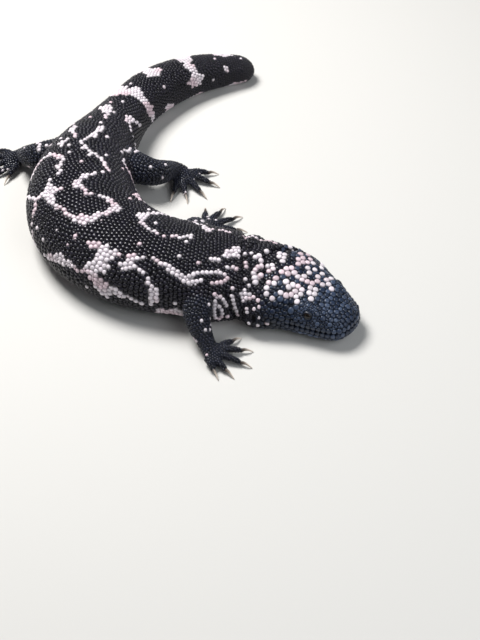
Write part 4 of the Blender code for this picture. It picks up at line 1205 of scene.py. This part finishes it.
def make_grain():
    """Noise whose value is a height, and the same value spread between two roughnesses."""
    group = bpy.data.node_groups.new("grain", "ShaderNodeTree")
    for way, names in (("INPUT", GRAIN_INPUTS), ("OUTPUT", ("Height", "Roughness"))):
        for name in names:
            group.interface.new_socket(name, in_out=way, socket_type="NodeSocketFloat")
    kinds = ("NodeGroupInput", "ShaderNodeTexCoord", "ShaderNodeTexNoise", "ShaderNodeMapRange")
    given, place, noise, spread = (group.nodes.new(kind) for kind in kinds)
    made = group.nodes.new("NodeGroupOutput")
    join(
        group,
        (place, "Object", noise, "Vector"),
        (given, "Scale", noise, "Scale"),
        (given, "Detail", noise, "Detail"),
        (noise, "Fac", spread, "Value"),
        (given, "Smooth", spread, "To Min"),
        (given, "Rough", spread, "To Max"),
        (noise, "Fac", made, "Height"),
        (spread, "Result", made, "Roughness"),
    )
    return group


grain = make_grain()
print("grain's inputs:", [item.name for item in grain.interface.items_tree if item.in_out == "INPUT"])

# %% [markdown]
# ## Finishes
# The live animal's beads are hard and a little oily, so each catches a small light. The skin between
# them is dull, the claws are polished by use, and the eye is wet. Each finish is one shader that
# reads its colour from the mesh, because the markings follow single beads, with the grain on top.

# %% Finishes


def new_material(name, roughness):
    """A material and its one shader, of this roughness."""
    material = bpy.data.materials.new(name)
    material.use_nodes = True
    shader = material.node_tree.nodes["Principled BSDF"]
    shader.inputs["Roughness"].default_value = roughness
    return material, shader


def marked_material(name, polish, scale, relief, shine, coat=0.0):
    """Colour from the markings, relief and polish from the grain, scale in bumps per metre."""
    material, shader = new_material(name, polish[0])
    nodes = material.node_tree.nodes
    colour, fine = nodes.new("ShaderNodeAttribute"), nodes.new("ShaderNodeGroup")
    bump = nodes.new("ShaderNodeBump")
    colour.attribute_name, fine.node_tree = "markings", grain
    for socket, value in zip(GRAIN_INPUTS, (scale, GRAIN_DETAIL, *polish)):
        fine.inputs[socket].default_value = value
    bump.inputs["Distance"].default_value = relief
    bump.inputs["Strength"].default_value = 0.6
    join(
        material.node_tree,
        (colour, "Color", shader, "Base Color"),
        (fine, "Height", bump, "Height"),
        (bump, "Normal", shader, "Normal"),
        (fine, "Roughness", shader, "Roughness"),
    )
    shader.inputs["Specular IOR Level"].default_value = shine
    shader.inputs["Coat Weight"].default_value = coat
    shader.inputs["Coat Roughness"].default_value = 0.03
    return material


bead_material = marked_material("beads", (0.2, 0.36), 2600.0, 0.00006, 0.38)
skin_material = marked_material("skin", (0.55, 0.8), 1800.0, 0.00012, 0.12)
claw_material = marked_material("claw", (0.25, 0.45), 900.0, 0.00004, 0.5)
eye_material = marked_material("eye", (0.03, 0.08), 700.0, 0.00001, 0.25, coat=0.3)
print("finishes:", [m.name for m in (bead_material, skin_material, claw_material, eye_material)])

# %% [markdown]
# ## Put the beads on the animal
# Thousands of separate objects would be slow to draw and to export. The beads are joined in a few
# large pieces: the head, lengths of the body, and one for each limb.

# %% Bead pieces
# Lengths of the body: the station at which each ends, then the width of the seam round a bead
BODY_PIECES = (("head", HEAD_END), ("neck", 87), ("chest", 135), ("flank", 181), ("belly", 227))
BODY_PIECES += (("hips", 293), ("tail", 500))
BODY_SEAM, LIMB_SEAM = 0.04, 0.03
# Painted shade round each bead's rim: how light the rim of a dark bead is, and how much lighter that of a
# pale one, on the head and elsewhere
DARK_RIM_SHADE, HEAD_PALE_RIM_SHADE, PALE_RIM_SHADE = 0.2, 0.3, 0.6


def add_beads(name, chosen, rings, sides, gap):
    """One joined mesh of beads with their colours and unwrap."""
    index = np.flatnonzero(chosen)
    points = bead_mesh(index, rings, sides, gap)
    per = points.shape[1]
    quads, fan = bead_faces(len(index), len(rings), sides)
    made = mesh_object("beads_" + name, points.reshape(-1, 3), [quads, fan])
    # Painted shade where beads meet: the rim ring is darkened to this, the ring above it half as much
    low = DARK_RIM_SHADE + (HEAD_PALE_RIM_SHADE if name == "head" else PALE_RIM_SHADE) * bead_pale[index][:, None]
    shade = np.ones((len(index), per))
    shade[:, :sides] = low
    shade[:, sides : 2 * sides] = 0.5 + 0.5 * low
    colours = bead_colour[index][:, None] * shade[..., None]
    dress(made.data, colours.reshape(-1, 3), bead_material)
    flat = [direction(even_turns(sides)) * reach for reach, _ in rings]
    flat = np.concatenate([*flat, [[0.0, 0.0]]]) * PATCH
    set_unwrap(made.data, (bead_uv[index][:, None] + flat).reshape(-1, 2))
    triangles = len(quads) * 2 + len(fan)
    print(made.name, "beads", len(index), "points each", per, "triangles", triangles)
    return made


pieces = []
start = -1.0
for name, until in BODY_PIECES:
    inside = (bead_region == 0) & (bead_coords[:, 0] >= start) & (bead_coords[:, 0] < until)
    start = until
    shape = (HEAD_RINGS, HEAD_SIDES) if name == "head" else (RINGS, SIDES)
    pieces.append(add_beads(name, inside, *shape, BODY_SEAM))
for region, name in enumerate(LIMBS, 1):
    pieces.append(add_beads(name, bead_region == region, RINGS, SIDES, LIMB_SEAM))
for piece in pieces:
    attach(piece, "root")

# %% [markdown]
# ## Colour the skin
# The skin shows only in the seams between beads: near black, and dusky pink inside a pale mark. It could
# have a colour of its own, but then it would show through as a grey net. Each point takes the colour of its
# nearest bead, darkened, so that skin and beads carry the same marks. The darkening is partly the skin's own
# deeper tone and partly painted shade in the seams.

# %% Skin colour
# How dark the skin is beside a bead's own colour, partly its own tone and partly painted shade: at pale
# beads of the head, other pale ones, dark ones
HEAD_SEAM, PALE_SEAM, DARK_SEAM, HEAD_SKIN_END = 0.08, 0.6, 0.3, 62
near_skin = tree_of(bead_place)
owner = np.array([near_skin.find(place)[1] for place in skin_points.tolist()])
apart = length_of(skin_points - bead_place[owner]) / bead_pitch[owner]
head_skin = (bead_region[owner] == 0) & (bead_coords[owner, 0] < HEAD_SKIN_END)
shade = np.where(bead_pale[owner], np.where(head_skin, HEAD_SEAM, PALE_SEAM), DARK_SEAM)
# Painted shade: the skin darkens the farther it lies from its bead, deep in the seam
shade = shade * (1 - 0.3 * smooth_step((apart - 0.35) / 0.3))
dress(skin.data, bead_colour[owner] * shade[:, None] + 0.002, skin_material)
flesh = [n for n in frame["nodes"] if "claw" not in n and not n.startswith("eye")]
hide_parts(*flesh)
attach(skin, "root")
print("skin stands for", len(flesh), "nodes")

# %% [markdown]
# ## Eyes and lids
# The eye is small, with a dark brown iris and a round black pupil, and its lids are rows of tiny
# scales. A painted spot would be flat, so the eyeball is a real ball that sits as deep as the solid's,
# with lids as a thin shell round it. Their almond is an ellipse of angles seen from its middle.

# %% Eyes
ALMOND, LID_SCALE, LID_COLUMNS, EYE_COLUMNS = (0.92, 0.5), 0.24, 88, 40
# Angles from the middle of the eye at which pupil and iris end
PUPIL, IRIS = 0.27, 0.52
# The lids' blue, like that of the head's beads, is a painted sheen
IRIS_BROWN, LID_SHEEN_BLUE = np.array([0.010, 0.005, 0.003]), np.array([0.02, 0.028, 0.05])
# The lids from their edge outward: angle past the edge, and distance from the eyeball's middle
LID_PROFILE = ((0.03, 2.9), (0.0, 3.06), (0.03, 3.16), (0.06, 3.2), (0.12, 3.22), (0.18, 3.22))
LID_PROFILE += ((0.24, 3.22), (0.3, 3.22), (0.36, 3.22), (0.42, 3.2), (0.48, 3.18), (0.6, 3.12))
LID_PROFILE += ((0.8, 2.95),)
# How far the lids' scales rise, how many go round, and the angle past the edge at which they begin
LID_RISE, LID_TURNS, LID_EDGE = 0.16, 11, 0.06


def ball_grid(radius, polar):
    """Rings round the outward axis at these angles from it, as offsets."""
    turn, ring = even_turns(polar.shape[1]), np.sin(polar)
    return np.stack([ring * np.cos(turn), ring * np.sin(turn), np.cos(polar)], -1) * radius


def add_eye(side, node, outward):
    """The eyeball, in the middle of its solid, with iris and pupil painted on it."""
    low, high = (np.array(c[:]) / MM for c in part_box(node))
    centre = (low + high) / 2
    polar = np.concatenate([np.linspace(0.02, 0.6, 14), np.linspace(0.66, math.pi - 0.02, 22)])
    grid = ball_grid(EYE_RADIUS - 0.02, np.repeat(polar[:, None], EYE_COLUMNS, 1))
    made = capped_together(f"eyeball_{side}", [grid @ axes_of(outward) + centre])
    polar_at = np.concatenate([np.repeat(polar, EYE_COLUMNS), [0.0, math.pi]])
    ring = smooth_step((polar_at - PUPIL) / 0.05) * (1 - smooth_step((polar_at - IRIS) / 0.12))
    dress(made.data, 0.002 + ring[:, None] * IRIS_BROWN, eye_material)
    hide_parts(node)
    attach(made, "root")
    return centre


def add_lids(side, centre, outward):
    """A shell round the eyeball with an almond opening. Its radius rises and falls in small scales."""
    turn = even_turns(LID_COLUMNS)
    almond = 1 / np.sqrt((np.cos(turn) / ALMOND[0]) ** 2 + (np.sin(turn) / ALMOND[1]) ** 2)
    out, radius = np.array(LID_PROFILE).T[..., None]
    row = np.floor(out / LID_SCALE)
    scales = np.abs(np.sin(turn * LID_TURNS + row * math.pi / 2)) * np.abs(np.sin(math.pi * out / LID_SCALE))
    radius = radius + LID_RISE * scales * (out > LID_EDGE)
    points = ball_grid(radius[..., None], almond + out) @ axes_of(outward) + centre
    made = mesh_object(f"lids_{side}", points.reshape(-1, 3), [grid_faces(len(out), LID_COLUMNS)])
    # Painted shade: the lids are lighter on their small scales' tops, darker between them and darkest at the
    # edge by the eyeball
    lid_shade = np.where(out > LID_EDGE, 0.4 + 0.6 * scales, 0.3)
    dress(made.data, lid_shade.reshape(-1, 1) * LID_SHEEN_BLUE, bead_material)
    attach(made, "root")


for side, (_, outward) in zip(("left", "right"), EYES):
    eye_centre = add_eye(side, "eye_" + side, outward)
    add_lids(side, eye_centre, outward)
print("eyes and lids made")

# %% [markdown]
# ## Claws
# Each claw carries on from its digit, arched and drawn out to a point, dark horn at the root and pale
# at the tip. A cone bent by a modifier could do, but a tube along an arched path gives the sag of the
# curve and the point in two formulas. Its root is sunk in the digit.

# %% Claws
CLAW_ROWS, CLAW_COLUMNS = 14, 14
CLAW_DARK, CLAW_PALE = np.array([0.05, 0.036, 0.03]), np.array([0.66, 0.57, 0.49])


def claw_grid(centres):
    """An arched cone from the end of a digit to just above the floor."""
    along = unit(centres[-1] - centres[-2])
    t = np.linspace(0.0, 1.0, CLAW_ROWS)
    start = centres[-1] - along * CLAW_SUNK
    drop = (start[2] - CLAW_TIP - CLAW_FLOOR) * t**2
    path = start + unit(along * [1, 1, 0]) * (CLAW_LENGTH + CLAW_SUNK) * t[:, None]
    path[:, 2] += CLAW_ARCH * np.sin(math.pi * t) * (1 - t) - drop
    thick = CLAW_ROOT + (CLAW_TIP - CLAW_ROOT) * t**0.9
    return tube_grid(path, thick * 0.72, thick * 0.97, CLAW_COLUMNS)


def add_claws(limb):
    """The five claws of a hand or foot as one mesh, from dark at the root to pale at the tip."""
    grids = [claw_grid(digit_path(limb, k, 5)[0]) for k in DIGITS]
    made = capped_together("claws_" + limb["end"], grids)
    t = np.concatenate([np.repeat(np.linspace(0, 1, CLAW_ROWS), CLAW_COLUMNS), [0.0, 1.0]])[:, None]
    colours = CLAW_DARK + (CLAW_PALE - CLAW_DARK) * smooth_step((t - 0.12) * 1.7)
    dress(made.data, np.tile(colours, (len(grids), 1)), claw_material)
    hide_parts(*[f"{limb['end']}_claw_{k}" for k in range(1, 6)])
    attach(made, "root")


for limb in LIMBS.values():
    add_claws(limb)
print("claws made")

# %% [markdown]
# ## Floor, light and camera
# A plain pale floor and soft light from above, as in a museum's photo studio. The large key lamp
# stands behind the animal and puts a small light on each bead, and a weaker one fills the shade. The
# camera looks down at the photo's angle through a long lens.

# %% Stage
CAMERA_PLACE, CAMERA_LOOK, LENS = (0.0941570, -0.5763761, 0.5667007), (0.0, 0.6717206, -0.7408046), 70.0
FLOOR_HALF, FLOOR_GREY = 3000.0, (0.62, 0.61, 0.59, 1.0)
WORLD_LIGHT, WORLD_COLOUR = 0.11, (0.9, 0.95, 1.0, 1.0)
# Lamps: name, place, size, power and colour. Both face LAMPS_LOOK
LAMPS_LOOK = Vector((0.05, 0.0, 0.0))
LAMPS = (
    ("key", (-0.3, 0.35, 0.95), 0.42, 17.5, (1.0, 0.99, 0.97)),
    ("fill", (0.7, -0.5, 0.7), 0.9, 5.0, (0.92, 0.96, 1.0)),
)


def add_floor():
    """A broad pale floor at the height that the animal rests on."""
    corners = FLOOR_HALF * np.array([(-1, -1, 0), (1, -1, 0), (1, 1, 0), (-1, 1, 0)])
    made = mesh_object("floor", corners, [np.array([[0, 1, 2, 3]])])
    material, shader = new_material("pale_floor", 0.8)
    shader.inputs["Base Color"].default_value = FLOOR_GREY
    made.data.materials.append(material)


def aim(name, data, place, way):
    """Sets up a lamp or the camera at a place, so that it looks this way."""
    made = bpy.data.objects.new(name, data)
    made.location = place
    made.rotation_mode = "QUATERNION"
    made.rotation_quaternion = Vector(way).to_track_quat("-Z", "Y")
    bpy.context.scene.collection.objects.link(made)
    return made


def add_lamp(name, place, size, power, colour):
    """A square soft lamp that faces the animal."""
    light = bpy.data.lights.new(name, "AREA")
    light.energy, light.size, light.color = power, size, colour
    aim(name, light, place, LAMPS_LOOK - Vector(place))


def add_camera():
    """The camera of the photo: 48 degrees above the floor, looking along +Y."""
    data = bpy.data.cameras.new("camera")
    data.lens, data.sensor_width, data.clip_end = LENS, 36.0, 50.0
    bpy.context.scene.camera = aim("camera", data, CAMERA_PLACE, CAMERA_LOOK)


def set_world():
    """Even, slightly cool light from all round."""
    world = bpy.data.worlds.new("studio")
    world.use_nodes = True
    background = world.node_tree.nodes["Background"]
    background.inputs["Color"].default_value = WORLD_COLOUR
    background.inputs["Strength"].default_value = WORLD_LIGHT
    bpy.context.scene.world = world


add_floor()
set_world()
for lamp in LAMPS:
    add_lamp(*lamp)
add_camera()
bpy.context.scene.view_settings.view_transform = "Standard"
print("stage set")
